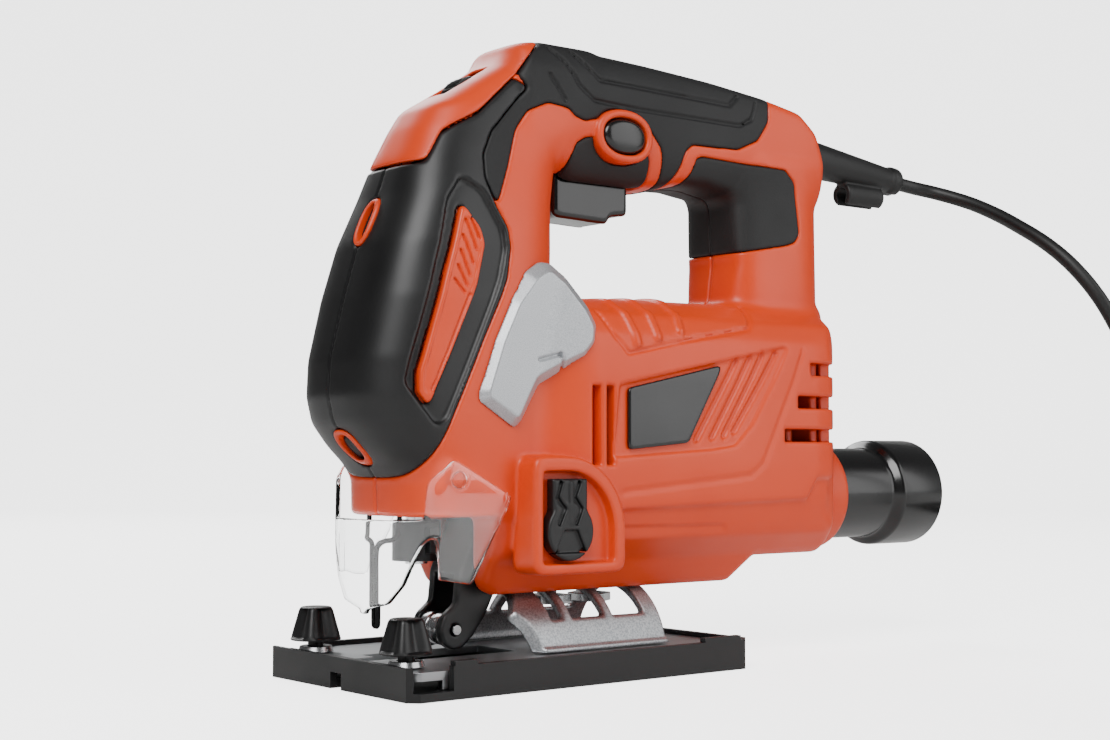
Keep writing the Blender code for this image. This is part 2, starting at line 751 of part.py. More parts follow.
def sleeve(name, x_start, x_end, radius, bore, centre, material, sides=28):
    """A ring along X with a bore through it."""
    y, z = centre
    made = rod(name, (x_start, y, z), (x_end, y, z), radius, material, sides=sides)
    return cut(made, rod("bore", (x_start - 0.01, y, z), (x_end + 0.01, y, z), bore, sides=20,
                         helper=True))


def gear_outline(teeth, turn, centre):
    """A spur gear's outline: root, flank, tip and flank for each tooth, in millimetres."""
    pitch = MODULE / MM * teeth / 2
    root, tip = pitch - 1.15, pitch + 0.75
    width = 2 * math.pi / teeth
    points = []
    for tooth in range(teeth):
        middle = tooth * width + turn
        for share, radius in ((-0.30, root), (-0.13, tip), (0.13, tip), (0.30, root)):
            angle = middle + share * width
            points.append((centre[0] + radius * math.cos(angle), centre[1] + radius * math.sin(angle)))
    return points


def drive_train():
    """Motor, gear pair, eccentric and plunger. The eccentric pin stops short of the yoke."""
    motor = (0, MOTOR_Z)
    sleeve("motor_stator", 0.048, 0.092, 27.5 * MM, 18.6 * MM, motor, steel(), 32)
    sleeve("armature_core", 0.047, 0.093, 17.8 * MM, 4.3 * MM, motor, copper())
    sleeve("commutator", 0.0955, 0.1085, 10.8 * MM, 4.3 * MM, motor, copper())
    sleeve("front_bearing", 0.0215, 0.0285, 11 * MM, 4.3 * MM, motor, steel())
    sleeve("rear_bearing", 0.1115, 0.1175, 9.5 * MM, 4.3 * MM, motor, steel())
    shaft = rod("armature_shaft", (-0.0065, 0, MOTOR_Z), (0.1185, 0, MOTOR_Z), 4 * MM, steel())
    pinion = gear_outline(PINION_TEETH, math.pi / 2, (0, MOTOR_Z / MM))
    join(shaft, prism("pinion", pinion, "X", -0.0175, -0.006, helper=True))

    blades = []
    for blade in range(11):
        for share, radius in ((0.0, 9), (0.06, 26.5), (0.3, 26.5), (0.34, 9)):
            angle = 2 * math.pi * (blade + share) / 11
            blades.append((radius * math.cos(angle), MOTOR_Z / MM + radius * math.sin(angle)))
    fan = prism("cooling_fan", blades, "X", 0.033, 0.0425, gloss_black())
    join(fan, rod("hub", (0.0315, 0, MOTOR_Z), (0.0435, 0, MOTOR_Z), 10 * MM, helper=True))
    cut(fan, rod("bore", (0.02, 0, MOTOR_Z), (0.06, 0, MOTOR_Z), 4.3 * MM, sides=20, helper=True))

    for side, name in ((-1, "left"), (1, "right")):
        across = sorted((side * 0.0113, side * 0.022))
        box("brush_" + name, (0.098, across[0], 0.0705), (0.106, across[1], 0.0775), dark_steel())

    plate = prism("gearbox_plate", inset(BODY_SECTION, 4.2), "X", 0.0145, 0.0185, diecast())
    common(plate, box("limit", (0, -0.05, 0.036), (0.03, 0.05, 0.117), helper=True))
    cut(plate, rod("bore", (0, 0, MOTOR_Z), (0.03, 0, MOTOR_Z), 4.4 * MM, sides=20, helper=True))
    cut(plate, rod("bore", (0, 0, GEAR_Z), (0.03, 0, GEAR_Z), 3.8 * MM, sides=20, helper=True))
    rod("gear_axle", (-0.0172, 0, GEAR_Z), (0.0195, 0, GEAR_Z), 3.5 * MM, steel())

    half_tooth = math.pi / GEAR_TEETH
    gear = prism("drive_gear", gear_outline(GEAR_TEETH, -math.pi / 2 + half_tooth,
                                            (0, GEAR_Z / MM)), "X", -0.017, -0.009, steel())
    cut(gear, rod("bore", (-0.03, 0, GEAR_Z), (0, 0, GEAR_Z), 3.8 * MM, sides=20, helper=True))
    join(gear, rod("eccentric_pin", (-0.0224, ECCENTRIC, GEAR_Z), (-0.012, ECCENTRIC, GEAR_Z),
                   2.6 * MM, helper=True))

    plunger = rod("plunger", (PLUNGER_X, 0, 0.0365), (PLUNGER_X, 0, 0.135), 3.5 * MM, steel())
    yoke = box("yoke", (PLUNGER_X - 0.002, -0.0155, GEAR_Z - 0.0065),
               (-0.0236, 0.0155, GEAR_Z + 0.0065), helper=True)
    cut(yoke, box("yoke_slot", (PLUNGER_X + 0.006, -0.0122, GEAR_Z - 0.003),
                  (0, 0.0122, GEAR_Z + 0.003), helper=True))
    join(plunger, yoke)
    for name, low, high in (("lower_bush", 0.061, 0.071), ("upper_bush", 0.121, 0.131)):
        bush = rod(name, (PLUNGER_X, 0, low), (PLUNGER_X, 0, high), 7 * MM, steel())
        cut(bush, rod("bore", (PLUNGER_X, 0, low - 0.01), (PLUNGER_X, 0, high + 0.01), 3.8 * MM,
                      helper=True))
    clamp = rod("blade_clamp", (PLUNGER_X, 0, 0.0375), (PLUNGER_X, 0, 0.0500), 7.4 * MM,
                dark_steel())
    join(clamp, box("ear", (PLUNGER_X - 0.0015, -0.0098, 0.040), (PLUNGER_X + 0.0015, -0.005, 0.048),
                    helper=True))
    cut(clamp, rod("bore", (PLUNGER_X, 0, 0.02), (PLUNGER_X, 0, 0.07), 3.8 * MM, helper=True))


def pendulum():
    """The roller guide: a fork on a pivot, with a roller on a pin at its foot."""
    side = [(-34.5, 11.8), (-35.8, 16), (-34, 20.5), (-29.5, 24), (-28.5, 34), (-21, 50), (-10, 50),
            (-9.6, 44), (-14.6, 27), (-18, 20), (-23, 13.6), (-27, 10.2), (-31, 9.6)]
    fork = prism("roller_fork", side, "Y", -0.0084, 0.0084, gloss_black())
    cut(fork, box("gap", (-0.06, -0.0054, 0), (0.0, 0.0054, 0.033), helper=True))
    x, z = FORK_PIVOT
    join(fork, rod("pivot", (x, -0.014, z), (x, 0.014, z), 2.5 * MM, sides=16, helper=True))
    x, z = ROLLER_CENTRE
    cut(fork, rod("pin_bore", (x, -0.02, z), (x, 0.02, z), 1.9 * MM, sides=16, helper=True))
    rod("roller_pin", (x, -0.0095, z), (x, 0.0095, z), 1.6 * MM, steel(), sides=16)
    roller = rod("guide_roller", (x, -0.0049, z), (x, 0.0049, z), 5.2 * MM, steel(), sides=28)
    cut(roller, rod("bore", (x, -0.02, z), (x, 0.02, z), 1.9 * MM, sides=16, helper=True))


# ---------------------------------------------------------------- guards and shoe


def guards():
    """The wire finger guard and the clear dust shield."""
    wire = bpy.data.curves.new("guard_wire", "CURVE")
    wire.dimensions = "3D"
    wire.bevel_depth = 0.8 * MM
    wire.bevel_resolution = 2
    wire.use_fill_caps = True
    half = [(GUARD_X, GUARD_HALF, 0.0588), (GUARD_X, GUARD_HALF, 0.0470),
            (GUARD_X - 0.0010, 0.0072, 0.0446), (GUARD_X - 0.0018, 0.0040, 0.0440),
            (GUARD_X - 0.0024, 0.0018, 0.0428), (GUARD_X - 0.0028, 0.0012, 0.0400),
            (GUARD_X - 0.0028, 0.0012, 0.0195), (GUARD_X - 0.0028, 0.0007, 0.0179)]
    route = half + [(x, -y, z) for x, y, z in reversed(half)]
    spline = wire.splines.new("POLY")
    spline.points.add(len(route) - 1)
    for point, place in zip(spline.points, route):
        point.co = (*place, 1)
    made = bpy.data.objects.new("guard_wire", wire)
    parts.objects.link(made)
    wire.materials.append(dark_steel())

    plan = [(-22, 30.2), (-47, 30.2), (-51.5, 28), (-55.5, 21), (-58, 11), (-58.7, 0)]
    plan += [(x, -y) for x, y in reversed(plan[:-1])]
    shield = prism("dust_shield", plan, "Z", 0.02, 0.072, clear())
    hollow = inset(plan, 1.6)
    hollow[0], hollow[-1] = (-15, 28.6), (-15, -28.6)
    cut(shield, prism("hollow", hollow, "Z", 0.01, 0.08, helper=True))
    profile = [(-24, 57.6), (-45.5, 69), (-51.9, 62.6), (-52.6, 50.6), (-62, 50.6), (-62, 22),
               (-53, 22), (-50.3, 33.4), (-39.3, 31.5)]
    common(shield, prism("profile", profile, "Y", -0.04, 0.04, helper=True))
    for side_sign in (-1, 1):
        notch = [(1.5, 10), (1.5, 23.2), (12, 25.5), (18, 31.5), (24, 43.5), (27.2, 46.5), (28.6, 33),
                 (34, 33), (34, 10)]
        notch = [(side_sign * y, z) for y, z in notch]
        cut(shield, prism("notch", notch, "X", -0.07, -0.0497, helper=True))
        x, z = SHIELD_PIVOT
        reach = sorted((side_sign * 0.0240, side_sign * 0.0293))
        join(shield, rod("peg", (x, reach[0], z), (x, reach[1], z), 2.4 * MM, sides=16,
                         helper=True))


def frame_outline(half_length, half_width, front_cut, rear_cut):
    """A rectangle about the origin, its four corners cut off at 45 degrees."""
    front = [(-half_length, half_width - front_cut), (-half_length + front_cut, half_width)]
    rear = [(half_length - rear_cut, half_width), (half_length, half_width - rear_cut)]
    right = front + rear
    return right + [(x, -y) for x, y in reversed(right)]


def shoe():
    """The sole: a steel plate in a plastic tray, the tilting drum and the fence clamps."""
    length, width = SHOE_LENGTH / MM / 2, SHOE_WIDTH / MM / 2
    tray = prism("shoe_cover", frame_outline(length, width, 3, 4.5), "Z", 0, RIM_HEIGHT, gloss_black())
    cut(tray, prism("well", frame_outline(length - 2.4, width - 2.4, 2.4, 3.6), "Z", 2.6 * MM, 0.02,
                    helper=True))
    plate = prism("shoe_plate", frame_outline(length - 2.8, width - 2.8, 2.3, 3.5), "Z", 2.9 * MM,
                  PLATE_TOP, steel())
    cut(plate, prism("under", frame_outline(length - 5, width - 5, 2, 3), "Z", 0,
                     PLATE_TOP - PLATE_THICK, helper=True))
    for x_low, x_high, half in ((-0.052, -0.008, SLOT_HALF), (-0.080, -0.051, 4 * MM)):
        cut(plate, box("blade_slot", (x_low, -half, 0), (x_high, half, 0.02), helper=True))
    cut(tray, box("blade_slot", (-0.047, -0.0055, -0.01), (-0.012, 0.0055, 0.01), helper=True))
    cut(tray, box("blade_slot", (-0.080, -0.003, -0.01), (-0.046, 0.003, 0.005), helper=True))
    for side in (-1, 1):
        across = sorted((side * 0.050, side * 0.030))
        cut(tray, box("fence_door", (-0.0665, across[0], 0.0026), (-0.0535, across[1], 0.02),
                      helper=True))
        cut(plate, box("fence_slot", (-0.0645, across[0], 0.0020), (-0.0555, across[1], 0.0056),
                       helper=True))
        across = sorted((side * 0.0385, side * 0.0410))
        for x_low, x_high in ((0.0455, 0.0615), (-0.0530, -0.0450)):
            join(tray, box("lip", (x_low, across[0], 0.008), (x_high, across[1], 0.0111),
                           helper=True))

    drum = rod("bevel_bracket", (DRUM_START, 0, TILT_Z), (DRUM_END, 0, TILT_Z), DRUM_R, diecast(),
               sides=48)
    cut(drum, rod("hollow", (-0.05, 0, TILT_Z), (0.06, 0, TILT_Z), DRUM_R - DRUM_WALL, sides=48,
                  helper=True))
    cut(drum, box("below", (-0.05, -0.04, -0.04), (0.06, 0.04, PLATE_TOP + GAP), helper=True))
    slope = [(-40, 5), (-25.7, 8.6), (-7.4, 29.6), (-7, 40), (-40, 40)]
    cut(drum, prism("slope", slope, "Y", -0.04, 0.04, helper=True))
    for side in (-1, 1):
        bow = [(-40, side * 5), (-25.5, side * 9.8), (-10.2, side * 21.8), (-6, side * 27),
               (-40, side * 30)]
        cut(drum, prism("bow", bow, "Z", 0, 0.04, helper=True))
    for x_low, x_high in ((-0.0015, 0.0035), (0.0070, 0.0205), (0.0240, 0.0375)):
        cut(drum, box("slot", (x_low, -0.04, 0.0182), (x_high, 0.04, 0.05), helper=True))
    for index, x in enumerate(BOLT_PLACES):
        bolt = rod(f"bracket_bolt_{index + 1}", (x, 0, 0.0237), (x, 0, 0.0352), 2.4 * MM, steel(),
                   sides=16)
        join(bolt, rod("head", (x, 0, 0.0215), (x, 0, 0.0243), 7.4 * MM, sides=6, helper=True))

    for side, name in ((-1, "left"), (1, "right")):
        place = (KNOB_X, side * KNOB_Y, 0)
        knob = turned("fence_knob_" + name, [(0, 22.6), (4.6, 22.6), (5.2, 21.8), (7.7, 13.8),
                                             (8, 12.2), (2.4, 12.2), (2.4, 6.6), (0, 6.6)], place,
                      (0, 0, 1), gloss_black(), 20)
        turned("fence_washer_" + name, [(2.8, 10.4), (5, 10.4), (5.6, 8.6), (2.8, 8.6), (2.8, 10.4)],
               place, (0, 0, 1), steel(), 20)
        hole = rod("knob_bore", (KNOB_X, side * KNOB_Y, 0), (KNOB_X, side * KNOB_Y, 0.02), 2.8 * MM,
                   sides=20, helper=True)
        cut(plate, hole)


# ---------------------------------------------------------------- dust port, screws and cord


def rear_fittings():
    """The dust adapter, the housing screws, and the strain relief with its key clip."""
    turned("vacuum_adapter", [(14.6, 191.5), (20, 191.5), (20, 169), (16.9, 166.5), (16.9, 119.5),
                              (14.6, 119.5), (14.6, 165), (17.8, 171), (17.8, 190)][::-1]
           + [(17.8, 190)], (0, 0, PORT_Z), (1, 0, 0), gloss_black(), 32)
    for index, (x, z) in enumerate(SCREW_PLACES):
        screw = rod(f"housing_screw_{index + 1}", (x * MM, -0.0112, z * MM),
                    (x * MM, SCREW_HEAD + 0.0008, z * MM), 1.7 * MM, steel(), sides=12)
        join(screw, rod("head", (x * MM, SCREW_HEAD + 0.0003, z * MM),
                        (x * MM, SCREW_HEAD + 0.0025, z * MM), 2.9 * MM, sides=16, helper=True))

    relief = rod("strain_relief", (0.1322, 0, 0.1827), CORD_ROUTE[0], 7.3 * MM, rubber(),
                 end_radius=4.7 * MM, sides=20)
    join(relief, rod("root", (0.1175, 0, 0.183), (0.1345, 0, 0.183), 5.9 * MM, helper=True))
    clip = rod("clip", (0.157, 0, 0.1705), (0.177, 0, 0.1702), 4.6 * MM, sides=20, helper=True)
    cut(clip, rod("key_bore", (0.15, 0, 0.1702), (0.19, 0, 0.1702), 2.5 * MM, sides=20, helper=True))
    cut(clip, box("mouth", (0.15, -0.0018, 0.16), (0.19, 0.0018, 0.1702), helper=True))
    join(relief, clip)


def smooth_route(points, per_span):
    """A Catmull-Rom curve through the route's own points."""
    places = [Vector(point) for point in points]
    places = [places[0] * 2 - places[1]] + places + [places[-1] * 2 - places[-2]]
    route = []
    for a, b, c, d in zip(places, places[1:], places[2:], places[3:]):
        for step in range(per_span):
            t = step / per_span
            route.append(0.5 * (2 * b + (c - a) * t + (2 * a - 5 * b + 4 * c - d) * t * t
                                + (3 * b - a - 3 * c + d) * t ** 3))
    return route + [places[-2]]


def cord():
    """The free cord: a tube to the floor, the coil of its stored length, and the plug."""
    route = smooth_route(CORD_ROUTE, 2)
    route[0] = route[0] + (route[1] - route[0]).normalized() * GAP
    curve = bpy.data.curves.new("cord", "CURVE")
    curve.dimensions = "3D"
    curve.bevel_depth = CORD_D / 2
    curve.bevel_resolution = 2
    curve.use_fill_caps = True
    spline = curve.splines.new("POLY")
    spline.points.add(len(route) - 1)
    for point, place in zip(spline.points, route):
        point.co = (*place, 1)
    tube = bpy.data.objects.new("cord", curve)
    parts.objects.link(tube)
    curve.materials.append(rubber())

    inner, outer = COIL_R / MM - COIL_TURNS * CORD_D / MM / 2, COIL_OUTER / MM
    low, high = 0.3, 0.3 + 2 * CORD_D / MM
    turned("cord_coil", [(inner, high), (outer, high), (outer, low), (inner, low), (inner, high)],
           COIL_CENTRE, (0, 0, 1), rubber(), 32)
    plug()


def plug():
    """A two-pin moulded plug on the floor, on the line that leaves the coil at its last point."""
    out = Vector((math.cos(COIL_END), math.sin(COIL_END)))
    along = Vector((-out.y, out.x))
    neck = COIL_CENTRE.xy / MM + out * (COIL_OUTER - CORD_D / 2) / MM + along * 23
    half = [(0, 3.6), (16, 4.6), (21, 11), (27, 15), (39, 16), (41, 14)]
    outline = half + [(u, -v) for u, v in reversed(half)]
    body = [tuple(neck + along * u + out * v) for u, v in outline]
    made = prism("plug", body, "Z", 0.0003, 0.0150, rubber())
    for side in (-1, 1):
        foot, tip = ((neck + along * u + out * side * 9.5) * MM for u in (39, 60))
        join(made, rod("pin", (*foot, 0.0076), (*tip, 0.0076), 2.4 * MM, sides=16, helper=True))


def main():
    global parts, cutters
    clear_scene()
    parts = make_collection("jigsaw")
    cutters = make_collection("cutters")
    made = housing()
    cut(made["top_cap"], dial_slot())
    cut(made["handle_grip_left"], prism("ring", superellipse(BUTTON_CENTRE, 12.5, 9.2, 2.2, 24), "Y",
                                        -0.03, 0, helper=True))
    trim(made)
    controls()
    drive_train()
    pendulum()
    guards()
    shoe()
    rear_fittings()
    cord()


main()
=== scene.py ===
"""The looks of a corded jigsaw: moulded shells, clear guard, cast bracket, lead and a pale studio.

Shapes are worked out in millimetres on the frame's own axes, +X to the rear, +Z up and -Y to the
tool's left, and they go into the meshes in metres. A moulded piece is the zero surface of a form: a
function of x, y and z that is below zero inside the piece, and close to the distance in millimetres
near its surface. Forms are joined, cut, sunk and raised by smooth greatest and smallest values.
"""

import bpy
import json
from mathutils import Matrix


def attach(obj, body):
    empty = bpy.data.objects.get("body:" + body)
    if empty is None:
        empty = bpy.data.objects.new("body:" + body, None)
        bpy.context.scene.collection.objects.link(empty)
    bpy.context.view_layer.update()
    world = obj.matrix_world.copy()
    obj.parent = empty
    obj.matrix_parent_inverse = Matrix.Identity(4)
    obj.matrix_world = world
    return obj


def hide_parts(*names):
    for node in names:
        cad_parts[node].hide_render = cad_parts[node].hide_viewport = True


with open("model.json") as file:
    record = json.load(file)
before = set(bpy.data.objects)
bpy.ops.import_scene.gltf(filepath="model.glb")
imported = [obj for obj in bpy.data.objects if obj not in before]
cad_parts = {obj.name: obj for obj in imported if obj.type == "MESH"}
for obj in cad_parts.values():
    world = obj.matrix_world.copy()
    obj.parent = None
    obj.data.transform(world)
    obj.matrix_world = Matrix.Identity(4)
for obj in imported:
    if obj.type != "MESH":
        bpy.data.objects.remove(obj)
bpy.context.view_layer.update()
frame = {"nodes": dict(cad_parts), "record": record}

import json
import logging
import math
from collections.abc import Callable, Sequence
from dataclasses import dataclass, field
from enum import Enum
from functools import partial

import bmesh
import bpy
import numpy as np
from mathutils import Matrix, Vector

log = logging.getLogger("jigsaw")
Array = np.ndarray
Form = Callable[[Array, Array, Array], Array]
Points = Sequence[tuple[float, float]]
MM = 0.001
GAP = 0.08  # half of the fine joint between neighbouring mouldings
NUDGE = 0.02  # the distance over which a form's slope is measured
LEAST_SLOPE = 0.25  # a flatter form than this is taken as if it had this slope
AXIS = 0.001  # the radius that a turned profile has on its axis
SETTLING_ROUNDS = 2  # how often points are moved onto a surface


# ------------------------------------------------------------------ forms


def both(a: Array, b: Array, k: float = 0.4) -> Array:
    """The smooth greatest of two forms: what lies in both, its edge rounded over k millimetres.

    Where the two differ by less than k, (k - |a - b|) squared over 4k is added to the greater.
    """
    near = np.maximum(k - np.abs(a - b), 0) / k
    return np.maximum(a, b) + near * near * k / 4


def either(a: Array, b: Array, k: float = 0.4) -> Array:
    """The smooth least of two forms: what lies in one or the other, the joint filleted."""
    return -both(-a, -b, k)


def cut(form: Array, tool: Array, k: float = 0.4) -> Array:
    """The form with the tool taken out of it."""
    return both(form, -tool, k)


def sunk(form: Array, region: Array, depth: float, k: float = 0.5) -> Array:
    """The form with its surface lowered by a depth wherever the region is below zero."""
    return both(form, -both(region, -form - depth, k), k)


def raised(form: Array, region: Array, height: float, k: float = 0.5) -> Array:
    """The form with its surface lifted by a height wherever the region is below zero."""
    return either(form, both(region, form - height, k), k)


def chamfered(a: Array, b: Array, width: float) -> Array:
    """What lies in both, with a flat chamfer: the greatest of a, b and (a + b + width) / root 2."""
    return np.maximum(np.maximum(a, b), (a + b + width) / math.sqrt(2))


def block(x: Array, y: Array, z: Array, low: Sequence[float], high: Sequence[float]) -> Array:
    """A box between two corners: the greatest distance outside any of its three slabs."""
    slabs = [np.abs(v - (a + b) / 2) - (b - a) / 2 for v, a, b in zip((x, y, z), low, high)]
    return np.maximum(np.maximum(slabs[0], slabs[1]), slabs[2])


def slab(v: Array, low: float, high: float) -> Array:
    """What lies between two levels of one coordinate."""
    return np.abs(v - (low + high) / 2) - (high - low) / 2


def oval(u: Array, v: Array, half_u: float, half_v: float, power: float = 2.4) -> Array:
    """A superellipse: the power mean of |u| / a and |v| / b, less one, times the smaller half."""
    mean = (np.abs(u / half_u) ** power + np.abs(v / half_v) ** power) ** (1 / power)
    return (mean - 1) * min(half_u, half_v)


def strip(u: Array, v: Array, route: Points, half: float) -> Array:
    """A band of a half width along an open line: the least distance to its segments, less the half.

    Args:
        u: the points' first coordinates, in millimetres.
        v: their second coordinates.
        route: the points of the line, in order.
        half: half the band's width.

    Returns:
        The signed distances.
    """
    nearest = np.inf
    for (u0, v0), (u1, v1) in zip(route, route[1:]):
        du, dv = u1 - u0, v1 - v0
        along = np.clip(((u - u0) * du + (v - v0) * dv) / (du * du + dv * dv), 0, 1)
        nearest = np.minimum(nearest, (u - u0 - along * du) ** 2 + (v - v0 - along * dv) ** 2)
    return np.sqrt(nearest) - half


class Outline:
    """A closed outline kept as a map of signed distances, which answers at once for any points."""

    def __init__(self, corners: Points, soft: float = 0.8, step: float = 0.5) -> None:
        """Measures the outline on a grid and rounds its corners.

        Args:
            corners: the outline's corners in order, in millimetres.
            soft: how far the map is averaged over, which rounds the corners by about as much.
            step: the map's spacing.
        """
        ends = np.asarray(corners, float)
        self.low, self.step = ends.min(0) - 14, step
        count = np.ceil((ends.max(0) + 14 - self.low) / step).astype(int) + 1
        u = self.low[0] + step * np.arange(count[0])[:, None]
        v = self.low[1] + step * np.arange(count[1])[None, :]
        nearest = np.full(count, np.inf)
        inside = np.zeros(count, bool)
        for (u0, v0), (u1, v1) in zip(ends, np.roll(ends, -1, axis=0)):
            du, dv = u1 - u0, v1 - v0
            along = np.clip(((u - u0) * du + (v - v0) * dv) / (du * du + dv * dv), 0, 1)
            nearest = np.minimum(nearest, (u - u0 - along * du) ** 2 + (v - v0 - along * dv) ** 2)
            slope = du / dv if dv else 0.0
            inside ^= ((v0 > v) != (v1 > v)) & (u < u0 + (v - v0) * slope)
        chart = np.where(inside, -1, 1) * np.sqrt(nearest)
        reach = max(int(round(soft / step)), 0)
        for axis in (0, 1):
            margins = [(reach, reach) if a == axis else (0, 0) for a in (0, 1)]
            padded = np.pad(chart, margins, "edge")
            shifts = [np.take(padded, np.arange(count[axis]) + s, axis)
                      for s in range(2 * reach + 1)]
            chart = sum(shifts) / len(shifts)
        self.chart = chart

    def __call__(self, u: Array, v: Array) -> Array:
        """The signed distance at u, v: the map's four nearest values, weighted by nearness.

        Args:
            u: first coordinates.
            v: second coordinates.

        Returns:
            The signed distances.
        """
        top = np.array(self.chart.shape) - 1.001
        a = np.clip((u - self.low[0]) / self.step, 0, top[0])
        b = np.clip((v - self.low[1]) / self.step, 0, top[1])
        i, j = a.astype(int), b.astype(int)
        p, q = a - i, b - j
        first = self.chart[i, j] * (1 - p) + self.chart[i + 1, j] * p
        second = self.chart[i, j + 1] * (1 - p) + self.chart[i + 1, j + 1] * p
        return first * (1 - q) + second * q


def mirrored(half: Points) -> list[tuple[float, float]]:
    """A half outline at positive first coordinates, closed with its mirror image."""
    return list(half) + [(-a, b) for a, b in reversed(half)]


def swapped(points: Points) -> list[tuple[float, float]]:
    """The same points with their two coordinates exchanged."""
    return [(b, a) for a, b in points]


# ------------------------------------------------------------------ meshes


def surface_of(form: Form, low: Sequence[float], high: Sequence[float],
               step: Sequence[float]) -> tuple[Array, Array]:
    """The zero surface of a form, as quads with one point in each grid cell that it crosses.

    Every grid edge whose ends lie on different sides gets a quad of its four cells' points. A
    cell's point starts at the mean of its crossings, and is then moved along the form's slope by
    the value over the slope's length, which lands it on the surface.

    Args:
        form: below zero inside.
        low: the lowest corner to look in.
        high: the highest corner.
        step: the grid's spacing on each axis.

    Returns:
        The points in millimetres, and the quads as rows of point numbers.
    """
    axes = [np.arange(a - 2 * s, b + 3 * s, s) for a, b, s in zip(low, high, step)]
    value = np.broadcast_to(form(*np.meshgrid(*axes, indexing="ij", sparse=True)),
                            [a.size for a in axes])
    inside = value < 0
    rings, crossings = [], []
    for axis in range(3):
        one, two = (axis + 1) % 3, (axis + 2) % 3
        count = value.shape[axis] - 1
        changed = np.take(inside, range(count), axis) != np.take(inside, range(1, count + 1), axis)
        lower = np.argwhere(changed)
        upper = lower.copy()
        upper[:, axis] += 1
        start, end = value[tuple(lower.T)], value[tuple(upper.T)]
        place = np.stack([axes[k][lower[:, k]] for k in range(3)], 1)
        place[:, axis] += step[axis] * start / (start - end)
        around = np.zeros((4, 1, 3), int)
        around[[1, 2], 0, one] = -1
        around[[2, 3], 0, two] = -1
        cells = np.moveaxis(lower[None] + around, 2, 0)
        ring = np.ravel_multi_index(tuple(cells), value.shape).T
        ring[start >= 0] = ring[start >= 0][:, ::-1]
        rings.append(ring)
        crossings.append(np.repeat(place, 4, axis=0))
    quads = np.concatenate(rings)
    _, index = np.unique(quads, return_inverse=True)
    index = index.reshape(-1)
    crossing = np.concatenate(crossings)
    count = np.bincount(index)
    points = np.stack([np.bincount(index, crossing[:, k]) / count for k in range(3)], 1)
    reach = 0.6 * min(step)
    for _ in range(SETTLING_ROUNDS):
        here = form(*points.T)
        slope = np.stack([(form(*(points + NUDGE * np.eye(3)[k]).T) - here) / NUDGE
                          for k in range(3)], 1)
        size = np.maximum(np.linalg.norm(slope, axis=1), LEAST_SLOPE)
        points -= slope * (np.clip(here / size, -reach, reach) / size)[:, None]
    return points, index.reshape(-1, 4)


def smooth_line(route: Sequence[Sequence[float]], per_span: int) -> Array:
    """A Catmull-Rom curve through points: each span is the cubic that its four nearest points give.

    Args:
        route: the points of the line, in order.
        per_span: how many points each span gets.

    Returns:
        The points of the curve.
    """
    p = np.asarray(route, float)
    p = np.concatenate([[2 * p[0] - p[1]], p, [2 * p[-1] - p[-2]]])
    t = (np.arange(per_span) / per_span)[None, :, None]
    a, b, c, d = (p[k:len(p) - 3 + k, None, :] for k in range(4))
    spans = 0.5 * (2 * b + (c - a) * t + (2 * a - 5 * b + 4 * c - d) * t ** 2
                   + (3 * b - a - 3 * c + d) * t ** 3)
    return np.concatenate([spans.reshape(-1, p.shape[1]), p[-2:-1]])


def grid_faces(rows: int, columns: int) -> Array:
    """The quads of a grid of points whose columns close into rings, each ring one row.

    Args:
        rows: how many rings there are.
        columns: how many points each ring has.

    Returns:
        The quads, as rows of point numbers.
    """
    i, j = np.meshgrid(np.arange(rows - 1), np.arange(columns), indexing="ij")
    right = (j + 1) % columns
    return np.stack([i * columns + j, i * columns + right, (i + 1) * columns + right,
                     (i + 1) * columns + j], -1).reshape(-1, 4)


def tube(route: Array, radius: float, sides: int = 12) -> tuple[Array, list[list[int]]]:
    """A round bar along a line, closed at both ends.

    A ring of points stands square to the line at each of its points. Its first direction is carried
    along with the part that lies on the line taken out, so that the rings don't twist.

    Args:
        route: the points of the line, in order.
        radius: how far out it reaches.
        sides: points in each ring.

    Returns:
        The points and the faces.
    """
    ahead = np.gradient(route, axis=0)
    ahead /= np.linalg.norm(ahead, axis=1)[:, None]
    side = np.cross(ahead, (0.13, 0.97, 0.21))
    side /= np.linalg.norm(side, axis=1)[:, None]
    up = np.cross(ahead, side)
    turn = 2 * np.pi * np.arange(sides) / sides
    ring = np.cos(turn)[None, :, None] * side[:, None] + np.sin(turn)[None, :, None] * up[:, None]
    points = (route[:, None] + radius * ring).reshape(-1, 3)
    faces = grid_faces(len(route), sides).tolist()
    last = (len(route) - 1) * sides
    faces += [list(range(sides))[::-1], list(range(last, last + sides))]
    return points, faces


